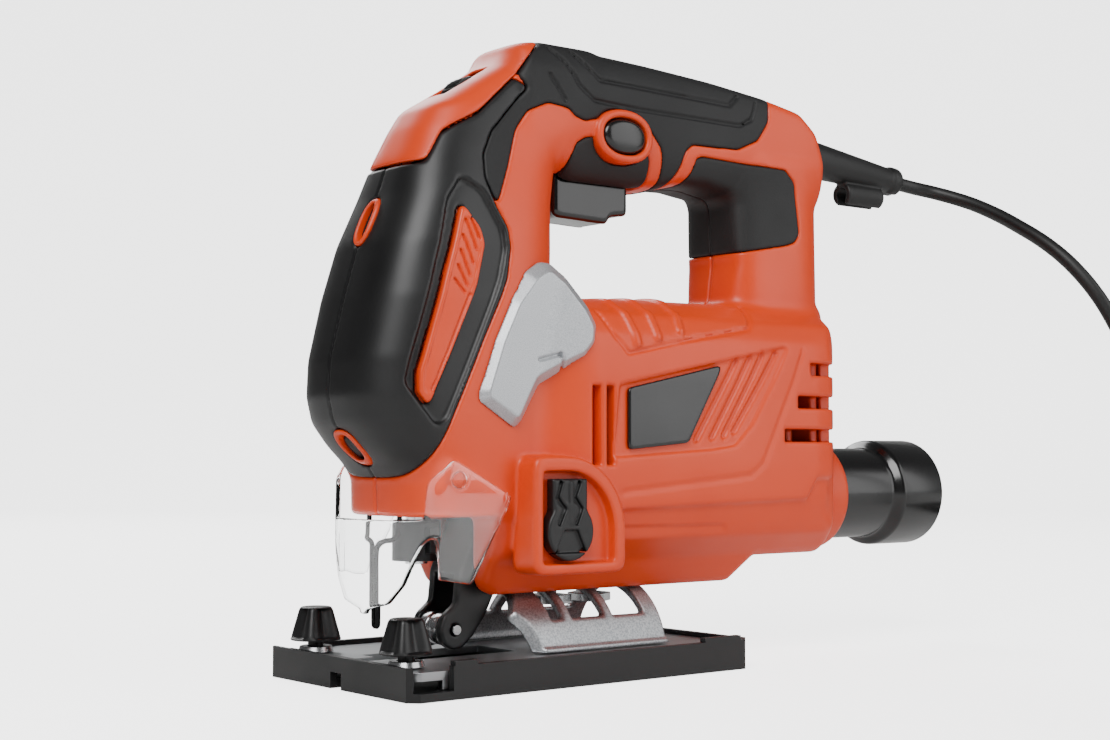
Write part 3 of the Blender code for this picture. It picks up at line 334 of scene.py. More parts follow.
def turned(profile: Points, centre: Sequence[float], axis: int, steps: int, flutes: int = 0,
           flute_depth: float = 0.0, band: tuple[float, float] = (0, 0)) -> tuple[Array, Array]:
    """A closed profile carried round an axis.

    A point at radius r and height h goes to r cos t, r sin t and h. Between the two heights of the
    band the radius is lowered by the depth times (1 + cos(flutes t)) / 2, which gives the flutes.

    Args:
        profile: (radius, height) points, closed from the last to the first.
        centre: the origin of the heights.
        axis: 0, 1 or 2 for X, Y or Z.
        steps: points round the axis.
        flutes: how many hollows go round.
        flute_depth: how deep each is.
        band: the heights between which they are cut.

    Returns:
        The points in millimetres, and the quads.
    """
    radius, height = np.array(profile, float).T
    angle = 2 * np.pi * np.arange(steps) / steps
    fluted = ((height > band[0]) & (height < band[1]) & (radius > 3))[None, :]
    sunk_by = fluted * flute_depth * (1 + np.cos(flutes * angle))[:, None] / 2
    r = radius[None, :] - sunk_by
    parts = [None, None, None]
    parts[axis] = np.broadcast_to(height, r.shape)
    parts[(axis + 1) % 3] = r * np.cos(angle)[:, None]
    parts[(axis + 2) % 3] = r * np.sin(angle)[:, None]
    points = np.stack(parts, -1).reshape(-1, 3) + np.asarray(centre)
    count = len(profile)
    i, j = np.meshgrid(np.arange(steps), np.arange(count), indexing="ij")
    after, below = (i + 1) % steps, (j + 1) % count
    quads = np.stack([i * count + j, after * count + j, after * count + below,
                      i * count + below], -1)
    return points, quads.reshape(-1, 4)


def rounded_profile(corners: Points, radius: float = 0.5,
                    steps: int = 4) -> list[tuple[float, float]]:
    """A closed profile with each corner replaced by a quadratic curve between points near it.

    Args:
        corners: the corners, in order.
        radius: how far out it reaches.
        steps: points on each curve.

    Returns:
        The new profile.
    """
    p = np.asarray(corners, float)
    back, ahead = np.roll(p, 1, axis=0) - p, np.roll(p, -1, axis=0) - p
    back_size = np.linalg.norm(back, axis=1)[:, None]
    ahead_size = np.linalg.norm(ahead, axis=1)[:, None]
    start = p + back / back_size * np.minimum(radius, back_size * 0.45)
    end = p + ahead / ahead_size * np.minimum(radius, ahead_size * 0.45)
    t = np.linspace(0, 1, steps)[None, :, None]
    curve = (1 - t) ** 2 * start[:, None] + 2 * t * (1 - t) * p[:, None] + t ** 2 * end[:, None]
    return [tuple(point) for point in curve.reshape(-1, 2)]


# ------------------------------------------------------------------ finishes


def linear(code: str) -> tuple[float, float, float, float]:
    """An sRGB hex colour as the linear values a shader takes, by the sRGB curve.

    Args:
        code: the colour, as # and six digits.

    Returns:
        Red, green, blue and an alpha of one.
    """
    values = [int(code[i:i + 2], 16) / 255 for i in (1, 3, 5)]
    curve = [v / 12.92 if v <= 0.04045 else ((v + 0.055) / 1.055) ** 2.4 for v in values]
    return (*curve, 1.0)


def add(tree: bpy.types.NodeTree, kind: str, values: dict | None = None,
        links: dict | None = None, **settings: object) -> bpy.types.Node:
    """Adds a shader node.

    Args:
        tree: the material's node tree.
        kind: the node's type.
        values: socket name or number to the constant set on it.
        links: socket name or number to the output that feeds it.
        settings: the node's own properties.

    Returns:
        The node.
    """
    made = tree.nodes.new(kind)
    for name, value in settings.items():
        setattr(made, name, value)
    for name, value in (values or {}).items():
        made.inputs[name].default_value = value
    for name, source in (links or {}).items():
        tree.links.new(source, made.inputs[name])
    return made


def blank_material(name: str) -> tuple[bpy.types.Material, bpy.types.NodeSocket | None]:
    """Finds or starts a material.

    Args:
        name: what it is called.

    Returns:
        The material, and the Object coordinates in it if it is new, or None if it was ready.
    """
    ready = bpy.data.materials.get(name)
    if ready:
        return ready, None
    made = bpy.data.materials.new(name)
    made.use_nodes = True
    made.node_tree.nodes.clear()
    return made, add(made.node_tree, "ShaderNodeTexCoord").outputs["Object"]


class Pattern(Enum):
    """How a surface was made, which sets what its bump looks like."""

    MOULDED = "moulded"
    SPECKLED = "speckled"
    BRUSHED = "brushed"


@dataclass(frozen=True)
class Finish:
    """One real material with its own surface, worked out from sizes in millimetres.

    The grain is the fine texture's size and the relief its height. The roughness wanders by the
    spread over clouds as wide as the blotch. A glow shows only to the eye and through clear
    plastic, and lights nothing.
    """

    name: str
    colour: str
    shade: str
    roughness: float
    grain: float
    relief: float
    spread: float = 0.06
    metallic: float = 0.0
    coat: float = 0.0
    blotch: float = 30.0
    pattern: Pattern = Pattern.MOULDED
    ior: float = 1.5
    glow: float = 0.0
    coat_roughness: float = 0.15

    def material(self) -> bpy.types.Material:
        """The Blender material, made once and then reused.

        Returns:
            The material.
        """
        made, place = blank_material(self.name)
        if place is None:
            return made
        tree = made.node_tree
        if self.pattern is Pattern.BRUSHED:
            place = add(tree, "ShaderNodeMapping", {"Scale": (0.04, 1, 1)}, {"Vector": place}
                        ).outputs[0]
        grain = add(tree, "ShaderNodeTexNoise", {"Scale": 1 / (self.grain * MM), "Detail": 3.0},
                    {"Vector": place}).outputs[0]
        cloud = add(tree, "ShaderNodeTexNoise", {"Scale": 1 / (self.blotch * MM), "Detail": 2.0},
                    {"Vector": place}).outputs[0]
        mixer = cloud
        if self.pattern is Pattern.SPECKLED:
            mixer = add(tree, "ShaderNodeMapRange", {1: 0.40, 2: 0.62}, {0: grain}).outputs[0]
        tint = add(tree, "ShaderNodeMix", {6: linear(self.colour), 7: linear(self.shade)},
                   {0: mixer}, data_type="RGBA").outputs[2]
        rough = add(tree, "ShaderNodeMapRange",
                    {1: 0.3, 2: 0.7, 3: self.roughness - self.spread,
                     4: self.roughness + self.spread}, {0: cloud}).outputs[0]
        bump = add(tree, "ShaderNodeBump", {"Strength": 1.0, "Distance": self.relief * MM},
                   {"Height": grain}).outputs[0]
        shader = add(tree, "ShaderNodeBsdfPrincipled",
                     {"Metallic": self.metallic, "IOR": self.ior, "Coat Weight": self.coat,
                      "Coat Roughness": self.coat_roughness},
                     {"Base Color": tint, "Roughness": rough, "Normal": bump})
        if self.glow:
            ray = add(tree, "ShaderNodeLightPath").outputs
            seen = add(tree, "ShaderNodeMath", operation="MAXIMUM",
                       links={0: ray["Is Camera Ray"], 1: ray["Is Transmission Ray"]})
            strength = add(tree, "ShaderNodeMath", {1: self.glow}, {0: seen.outputs[0]},
                           operation="MULTIPLY")
            tree.links.new(strength.outputs[0], shader.inputs["Emission Strength"])
        add(tree, "ShaderNodeOutputMaterial", links={0: shader.outputs[0]})
        return made


@dataclass(frozen=True)
class ClearFinish:
    """Polished clear plastic: light goes through it, and its edges and gloss draw it."""

    name: str
    tint: str
    roughness: float
    ior: float
    spread: float = 0.02
    haze: float = 6.0

    def material(self) -> bpy.types.Material:
        """The Blender material, made once and then reused.

        Returns:
            The material.
        """
        made, place = blank_material(self.name)
        if place is None:
            return made
        tree = made.node_tree
        haze = add(tree, "ShaderNodeTexNoise", {"Scale": 1 / (self.haze * MM), "Detail": 2.0},
                   {"Vector": place}).outputs[0]
        rough = add(tree, "ShaderNodeMapRange",
                    {1: 0.3, 2: 0.7, 3: self.roughness, 4: self.roughness + self.spread}, {0: haze}
                    ).outputs[0]
        shader = add(tree, "ShaderNodeBsdfPrincipled",
                     {"Base Color": linear(self.tint), "Transmission Weight": 1.0, "IOR": self.ior},
                     {"Roughness": rough})
        add(tree, "ShaderNodeOutputMaterial", links={0: shader.outputs[0]})
        return made


# Spark-eroded ABS mouldings: warm orange, half matt, with a fine leathery sparkle
ORANGE_ABS = Finish("orange ABS, spark-eroded", "#E04000", "#D63A00", 0.40, 0.45, 0.020, 0.05)
# Soft thermoplastic rubber moulded over the shell: near black and matt, with a felt-like grain
SOFT_GRIP = Finish("black TPE overmould", "#0C0C0D", "#101011", 0.60, 0.40, 0.045, 0.05)
# The head's cover is a harder, smoother black with a satin sheen
HEAD_BLACK = Finish("black PA6 cover, satin", "#0A0A0B", "#0E0E0F", 0.42, 0.35, 0.018, 0.05)
# Polished black ABS: deep and mirror-like, with soft waviness
GLOSS_BLACK = Finish("black ABS, polished", "#060607", "#090909", 0.22, 3.0, 0.010, 0.05, coat=0.3)
# Plain black nylon for levers and clamps: satin
NYLON = Finish("black glass-filled nylon", "#0A0A0B", "#101011", 0.42, 0.5, 0.020, 0.07)
# Silver paint on plastic: bright grey with metal flakes under a soft lacquer
SILVER_PAINT = Finish("silver-painted ABS", "#BFC1C4", "#A3A6AA", 0.36, 0.30, 0.012, 0.05, 0.45,
                      0.25, pattern=Pattern.SPECKLED)
# Shot-blasted aluminium casting: pale, with a sparkling sandy grain
DIE_CAST = Finish("die-cast aluminium, blasted", "#B9BBBD", "#96999C", 0.42, 0.6, 0.05, 0.06, 0.85,
                  pattern=Pattern.SPECKLED)
# Zinc-plated pressed steel: streaked along the rolling direction, semi bright
PRESSED_STEEL = Finish("pressed steel, zinc-plated", "#B4B6B8", "#8E9193", 0.34, 0.8, 0.012, 0.08,
                       1.0, pattern=Pattern.BRUSHED)
# Ground steel of shafts and rollers: bright with faint streaks
GROUND_STEEL = Finish("ground steel", "#C3C4C5", "#9FA1A3", 0.24, 0.5, 0.006, 0.06, 1.0,
                      pattern=Pattern.BRUSHED)
# Oil-blackened steel: nearly black with a dull metal sheen
BLACK_STEEL = Finish("oil-blackened steel", "#2A2A2B", "#1B1B1C", 0.40, 0.6, 0.012, 0.08, 0.9)
# Wound copper and laminations: warm red-brown metal
COPPER = Finish("enamelled copper winding", "#B5683A", "#8C4A25", 0.38, 0.8, 0.10, 0.08, 0.9)
# Cable sheath: black rubber, matt with a slight bloom
CABLE_RUBBER = Finish("black rubber sheath", "#0A0A0A", "#101010", 0.50, 0.6, 0.020, 0.06)
# Clear polycarbonate: water-clear, its thick edges brighter
CLEAR_PC = ClearFinish("clear polycarbonate", "#FDFEFE", 0.005, 1.49)
# Frosted acrylic sweep lit from behind: an even white that leaves only soft contact shadows
PAPER = Finish("frosted acrylic, back-lit", "#F4F4F3", "#F1F1F0", 0.85, 2.0, 0.010, 0.03,
               blotch=400.0, glow=3.0)


# ------------------------------------------------------------------ pieces


MERGE_DISTANCE = 2e-6  # points of a frame node nearer than this are one point
FLAT_ANGLE = math.radians(0.6)  # faces that meet at less than this are one flat face
CORNER_ANGLE = math.radians(32)  # edges over this angle are corners, which get rounded


@dataclass
class Bench:
    """Puts worked-out surfaces into the scene as pieces of the tool."""

    triangles: int = 0

    def piece(self, name: str, shape: tuple, finish: Finish | ClearFinish, body: str,
              stands_for: Sequence[str] = (), sharp: float | None = None) -> bpy.types.Object:
        """Makes one piece from points and faces in millimetres.

        Args:
            name: the piece's name.
            shape: its points, and its faces as rows or lists of point numbers.
            finish: what it is made of.
            body: the frame's body that it rides on.
            stands_for: the frame's nodes that it replaces.
            sharp: edges over this angle in degrees stay sharp; none do if it is left out.

        Returns:
            The object.
        """
        points, faces = shape
        mesh = bpy.data.meshes.new(name)
        if isinstance(faces, np.ndarray):
            count, corners = faces.shape
            mesh.vertices.add(len(points))
            mesh.vertices.foreach_set("co", (np.asarray(points) * MM).astype(np.float32).ravel())
            mesh.loops.add(count * corners)
            mesh.loops.foreach_set("vertex_index", faces.astype(np.int32).ravel())
            mesh.polygons.add(count)
            mesh.polygons.foreach_set("loop_start", np.arange(0, count * corners, corners,
                                                              dtype=np.int32))
            mesh.update(calc_edges=True)
        else:
            mesh.from_pydata((np.asarray(points) * MM).tolist(), [], faces)
        mesh.validate()
        mesh.shade_smooth()
        if sharp is not None:
            mesh.set_sharp_from_angle(angle=math.radians(sharp))
        made = bpy.data.objects.new(name, mesh)
        bpy.context.scene.collection.objects.link(made)
        return self.dress(made, finish, body, stands_for)

    def dress(self, made: bpy.types.Object, finish: Finish | ClearFinish, body: str,
              stands_for: Sequence[str] = ()) -> bpy.types.Object:
        """Gives an object its material, body and nodes, and reports it.

        Args:
            made: the object.
            finish: what it is made of.
            body: the frame's body that it rides on.
            stands_for: the frame's nodes that it replaces.

        Returns:
            The object.
        """
        made.data.materials.clear()
        made.data.materials.append(finish.material())
        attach(made, body)
        if stands_for:
            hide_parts(*stands_for)
        if made.type == "MESH":
            count = sum(len(p.vertices) - 2 for p in made.data.polygons)
            self.triangles += count
            log.info("%s: %d triangles, %s", made.name, count, finish.name)
        return made

    def moulding(self, name: str, form: Form, low: Sequence[float], high: Sequence[float],
                 step: float | Sequence[float], finish: Finish | ClearFinish, body: str,
                 stands_for: Sequence[str] = ()) -> bpy.types.Object:
        """Makes one piece from a form. The arguments are as in surface_of and piece."""
        steps = (step,) * 3 if isinstance(step, (int, float)) else step
        return self.piece(name, surface_of(form, low, high, steps), finish, body, stands_for)

    def from_node(self, node: str, finish: Finish | ClearFinish, body: str,
                  edge: float = 0.25, segments: int = 2) -> bpy.types.Object:
        """A finished copy of a frame node: its points merged and its edges rounded by a Bevel.

        Args:
            node: the frame's node.
            finish: what it is made of.
            body: the frame's body.
            edge: the rounding in millimetres.
            segments: the Bevel's segments.

        Returns:
            The object.
        """
        shape = bmesh.new()
        shape.from_mesh(frame["nodes"][node].data)
        bmesh.ops.remove_doubles(shape, verts=shape.verts, dist=MERGE_DISTANCE)
        bmesh.ops.dissolve_limit(shape, angle_limit=FLAT_ANGLE, verts=shape.verts,
                                 edges=shape.edges)
        mesh = bpy.data.meshes.new(node + "_finished")
        shape.to_mesh(mesh)
        shape.free()
        mesh.shade_smooth()
        mesh.set_sharp_from_angle(angle=CORNER_ANGLE)
        made = bpy.data.objects.new(node + "_finished", mesh)
        bpy.context.scene.collection.objects.link(made)
        bevel = made.modifiers.new("worn edges", "BEVEL")
        bevel.width = edge * MM
        bevel.segments = segments
        bevel.limit_method = "ANGLE"
        bevel.angle_limit = CORNER_ANGLE
        bevel.harden_normals = True
        return self.dress(made, finish, body, [node])


# ------------------------------------------------------------------ the outer form


@dataclass
class ToolForm:
    """The tool's outer form: head, motor body, handle bar, rear post and dust port, in one skin."""

    head_levels: Sequence[tuple[float, float, float, float]] = (
        (51.5, -53.9, -8, 26.3), (63, -54.4, -2, 26.8), (67.5, -57.5, 0, 27.0),
        (73, -63.5, 0, 27.3), (80, -69.3, 2, 27.6), (88, -71.3, 2, 27.8), (99, -70.7, 2, 28),
        (118, -66.0, 2, 28), (135, -60.9, 3, 26.5), (150, -54.3, 4, 24), (162, -50.0, 7, 21),
        (172, -45.2, 14, 19), (179, -41.0, 22, 18), (184, -32.6, 24, 17.5),
        (195, -15.1, 24, 16.5), (204, -5.5, 22, 12),
    )
    head_power: float = 3.2
    body_side: Points = (
        (-26, 37), (-25, 30), (-20.5, 25.8), (81, 25.8), (90, 35.2), (122, 35.2), (125, 40),
        (125.5, 75), (126.5, 112), (131, 124), (40, 122.5), (0, 121), (-26, 121),
    )
    body_section: Points = (
        (14.5, 20), (14.5, 25.8), (20, 36), (30, 46), (33, 55), (34, 66), (34, 96), (32, 108),
        (27, 116), (18, 121), (10, 124), (9, 130),
    )
    body_plan: Points = ((24, -30), (26, -12), (34, 8), (34, 108), (32, 116), (27, 122), (18, 126),
                         (10, 135))
    bar_side: Points = (
        (-8, 172), (-8, 201.6), (0, 204.4), (20, 205.0), (45, 203.8), (75, 201.5), (100, 198.5),
        (118, 195), (126, 188), (130, 178), (131, 160), (100, 160), (86, 161), (72, 163.5),
        (60, 163), (52, 160), (44, 160), (43, 158.5), (12, 158.5), (9, 166), (4, 172),
    )
    post_side: Points = (
        (86, 112), (86, 128), (88, 138), (87, 145), (86, 161), (96, 175), (128, 175),
        (128.5, 160), (129, 145), (130.5, 128), (132, 112),
    )
    handle_half: float = 17.5
    port_height: float = 55.7
    port_radius: float = 20.5

    def __post_init__(self) -> None:
        """Smooths the head's levels into fine tables, and maps the outlines."""
        rise, *edges = np.array(self.head_levels, float).T
        self.rise = np.arange(46.0, 210.0, 0.5)
        kernel = np.hanning(13)
        self.head_edges = [
            np.convolve(np.pad(np.interp(self.rise, rise, edge), 6, "edge"),
                        kernel / kernel.sum(), "valid") for edge in edges
        ]
        self.side = Outline(self.body_side, 1.5)
        self.section = Outline(mirrored(self.body_section), 1.5)
        self.plan = Outline(swapped(mirrored(self.body_plan)), 1.5)
        self.bar = Outline(self.bar_side, 1.5)
        self.post = Outline(self.post_side, 1.5)

    def head(self, x: Array, y: Array, z: Array) -> Array:
        """A superellipse at each level, its front, back and half width following the tables.

        Args:
            x, y, z: where the form is read, in millimetres.

        Returns:
            The form there.
        """
        front, back, half = (np.interp(z, self.rise, edge) for edge in self.head_edges)
        middle, reach = (front + back) / 2, (back - front) / 2
        power = self.head_power
        mean = (np.abs((x - middle) / reach) ** power + np.abs(y / half) ** power) ** (1 / power)
        return both((mean - 1) * np.minimum(reach, half), np.maximum(51.5 - z, z - 201.5), 2.0)

    def motor(self, x: Array, y: Array, z: Array) -> Array:
        """The motor body: its side, section and plan outlines, each carried through the others."""
        side = np.abs(y)
        return both(both(self.side(x, z), self.section(side, z), 3), self.plan(x, side), 4)

    def outer(self, x: Array, y: Array, z: Array) -> Array:
        """The five forms joined, with fillets of a few millimetres.

        Args:
            x, y, z: where the form is read, in millimetres.

        Returns:
            The form there.
        """
        form = either(self.head(x, y, z), self.motor(x, y, z), 4)
        bar = both(self.bar(x, z), oval(y, z - 183, self.handle_half, 24.5, 2.6), 4)
        form = either(form, bar, 6)
        post = both(self.post(x, z), oval(x - 108.5, y, 23.5, self.handle_half, 3), 3)
        form = either(form, post, 4)
        port = both(np.hypot(y, z - self.port_height) - self.port_radius, np.abs(x - 115) - 23, 2)
        return either(form, port, 3)


HEAD_COVER_SIDE = [
    (-80, 60), (-54, 63), (-47, 75.5), (-33.4, 105), (-24, 124), (-22, 134), (-22.3, 140),
    (-26.2, 147), (-29, 155.4), (-28.5, 163), (-24.2, 171), (-9, 187), (-13, 190),
    (-28, 176.5), (-37, 171.6), (-41, 169), (-47, 159.4), (-80, 157),
]
CAP_SIDE = [
    (-80, 158), (-46.4, 160.2), (-40.3, 170), (-36.6, 172.5), (-27.6, 177.4), (-12, 191.2),
    (-7.7, 197), (-4.5, 200.5), (-1.5, 203), (-1, 215), (-80, 215),
]
GRIP_SIDE = [
    (-25.7, 147.2), (-28.8, 155.4), (-28.3, 163), (-24, 171), (-8.8, 187), (-11.7, 190.9),
    (-7.4, 197), (-4.2, 200.5), (-1.2, 203), (-0.7, 215), (112, 215), (100.9, 194.5), (100.1, 189),
    (94.5, 181.6), (84.6, 177.3), (63.2, 176.7), (60.2, 174), (58.7, 168.3), (56.4, 163.6),
    (56.4, 150),
    (51, 150), (51, 164.5), (50, 170.6), (48.9, 174), (45.5, 177.4), (43, 180), (19.5, 180.5),
    (14.4, 179.1), (9.4, 180.2), (7.3, 182.3), (-1.5, 183), (-9.4, 179.5), (-14.6, 172.5),
    (-19.2, 160.6),
]
REAR_SIDE = [
    (62.6, 164.1), (64.6, 168.2), (65.5, 172.1), (68, 173.3), (107.8, 172.4), (112.8, 168.2),
    (115.6, 149.8), (113, 146.6), (108.4, 145.2), (88.6, 141.6), (60, 141.6), (60, 150),
]
SURROUND_SIDE = [
    (20.2, 174.8), (15.3, 173.9), (11.5, 171.6), (10, 166.3), (9, 150), (44, 150), (44, 159.4),
    (46, 160.2), (45.2, 165), (44.4, 169.5), (42, 173),
]
LEAF_SIDE = [
    (-38.8, 147), (-33, 139.5), (-31.9, 134.4), (-35.5, 122), (-52.6, 84.6), (-55.8, 88.7),
    (-55.8, 94.9), (-47, 123),
]
LEAF_SLOTS = (
    ((-38.1, 141.7), (-35.2, 132.5)), ((-39.7, 136.7), (-36.7, 128.3)),
    ((-40.9, 132.0), (-38.2, 124.4)), ((-42.2, 127.4), (-39.4, 121.4)),
    ((-43.6, 123.0), (-40.4, 119.1)), ((-36.2, 142.2), (-33.9, 136.0)),
)
SILVER_SIDE = [
    (-11.5, 130.3), (-7.5, 130), (-2, 126), (5.5, 117), (8.5, 111), (8, 105), (4, 100),
    (-5, 96), (-12.5, 92), (-19, 80), (-22, 77.4), (-36.5, 86), (-36.5, 89.5), (-30.5, 106),
    (-24.5, 118), (-17, 127),
]
BADGE_SIDE = [(20, 91.6), (20, 71.8), (46, 74.1), (62, 100.3)]
TROUGH_SIDE = [
    (-37.5, 155.4), (-30.5, 151.4), (-24.2, 139.7), (-23.8, 133.5), (-26.4, 124), (-46, 80.8),
    (-49.7, 79), (-56.3, 86.9), (-59.6, 91.3), (-58.6, 97), (-43, 148),
]
PANEL_SIDE = [(14, 69.3), (57.4, 71.9), (67.8, 73.2), (75.4, 80), (94.9, 107.9), (16.7, 92.5)]
LOWER_SIDE = [(18, 52.5), (52, 53.3), (103, 54.6), (108, 62), (145, 62), (145, 18), (14, 18)]
POCKET_SIDE = [(20.9, 47.2), (65.8, 46.7), (73.3, 38.9), (73, 33), (20.9, 33)]
PANEL_GROOVES = (
    ((69.4, 102.0), (50.6, 75.2)), ((76, 102.9), (57.6, 75.8)), ((82, 104.1), (63.1, 76.5)),
    ((88.7, 105.0), (67.8, 77.9)),
)
CREST_GROOVE = (
    (12.2, 115.8), (15.5, 108.4), (20.9, 102.7), (48.1, 108.1), (77.7, 113.1), (87.5, 122),
)
BEND_GROOVE = ((18.2, 58.3), (75.3, 63.2), (81, 67.2), (101.8, 106.4))
BACK_RIBS = (
    ((22.6, 120), (24.5, 106.4)), ((33.8, 121), (33.7, 108.6)), ((47.4, 122), (44.7, 111.4)),
)
GRIP_GROOVES = (
    ((1.6, 201.7), (7, 197.6), (11.9, 190.5), (18.5, 186.4), (38.8, 185.8), (85.6, 185.9),
     (91.6, 188.8), (94.6, 195.1)),
    ((10.8, 201.7), (21.5, 193.6), (39.2, 193.4), (81.2, 192.6), (85.7, 196.5)),
    ((-0.1, 192.4), (5.7, 184.7)),
)
LEAF_GROOVE = ((-51.5, 89.5), (-38.5, 118.5))
SILVER_NOTCHES = (((-14, 99.5), (-6.5, 101.5)), ((-6.5, 101.5), (-4, 95)))
SCREW_PLACES = ((-12, 143), (108, 186), (106, 126), (72, 34.5))
BUTTON_CENTRE = (31.0, 175.7)
BUTTON_HALF = (9.1, 5.9)
BUTTON_RING_HALF = (12.2, 8.9)
LEVER_CENTRE = (-7.0, 46.7)
LEVER_POCKET = 18.6
LEVER_ZIGZAGS = (
    ((-3.6, 15.0), (-5.2, 10.4), (-2.4, 7.0), (-4.6, 2.6)),
    ((3.6, 15.0), (1.6, 10.4), (4.2, 7.0), (2.2, 2.6)),
)
LEVER_SPINE = ((0, 3.0), (0, 14.6))
MOTOR_HEIGHT = 74.0
TILT_HEIGHT = 5.0
LIGHT_HEIGHT = 141.7
CLIP_HEIGHT = 72.5
# The rings let into the head's front: name, height, half width, half height, frame node
FRONT_RINGS = (
    ("light_bezel", LIGHT_HEIGHT, 4.2, 7.6, "front_light_ring"),
    ("nose_clip", CLIP_HEIGHT, 5.6, 5.4, "nose_vent"),
)
SIDES = (("left", -1), ("right", 1))


def lever_sweep(radius: float, margin: float) -> list[tuple[float, float]]:
    """The quarter disc that the lever sweeps, with margins to its front and below.

    Args:
        radius: how far out it reaches.
        margin: how far the outline goes on in front and below.

    Returns:
        The outline's corners.
    """
    x, z = LEVER_CENTRE
    angle = np.radians(np.linspace(0, 90, 13))
    arc = list(zip(x + radius * np.cos(angle), z + radius * np.sin(angle)))
    return [(x + radius, z - margin), *arc, (x - margin, z + radius), (x - margin, z - margin)]


def button_oval(x: Array, z: Array, half: tuple[float, float], grow: float = 0.0) -> Array:
    """A rounded oval about the lock-on button's middle, grown all round."""
    u, v = x - BUTTON_CENTRE[0], z - BUTTON_CENTRE[1]
    return oval(u, v, half[0] + grow, half[1] + grow, 2.2)


def dial_slot(x: Array, y: Array, z: Array) -> Array:
    """The slot in the cap over the speed dial, square to the cap's slope of 30.5 degrees.

    Args:
        x, y, z: where the form is read, in millimetres.

    Returns:
        The form there.
    """
    slope = math.radians(30.5)
    u = (x + 18.9) * math.cos(slope) + (z - 181.6) * math.sin(slope)
    v = -(x + 18.9) * math.sin(slope) + (z - 181.6) * math.cos(slope)
    return block(u, y, v, (-9.8, -4.2, 1.8), (9.8, 4.2, 17.8))


# ------------------------------------------------------------------ housing and covers


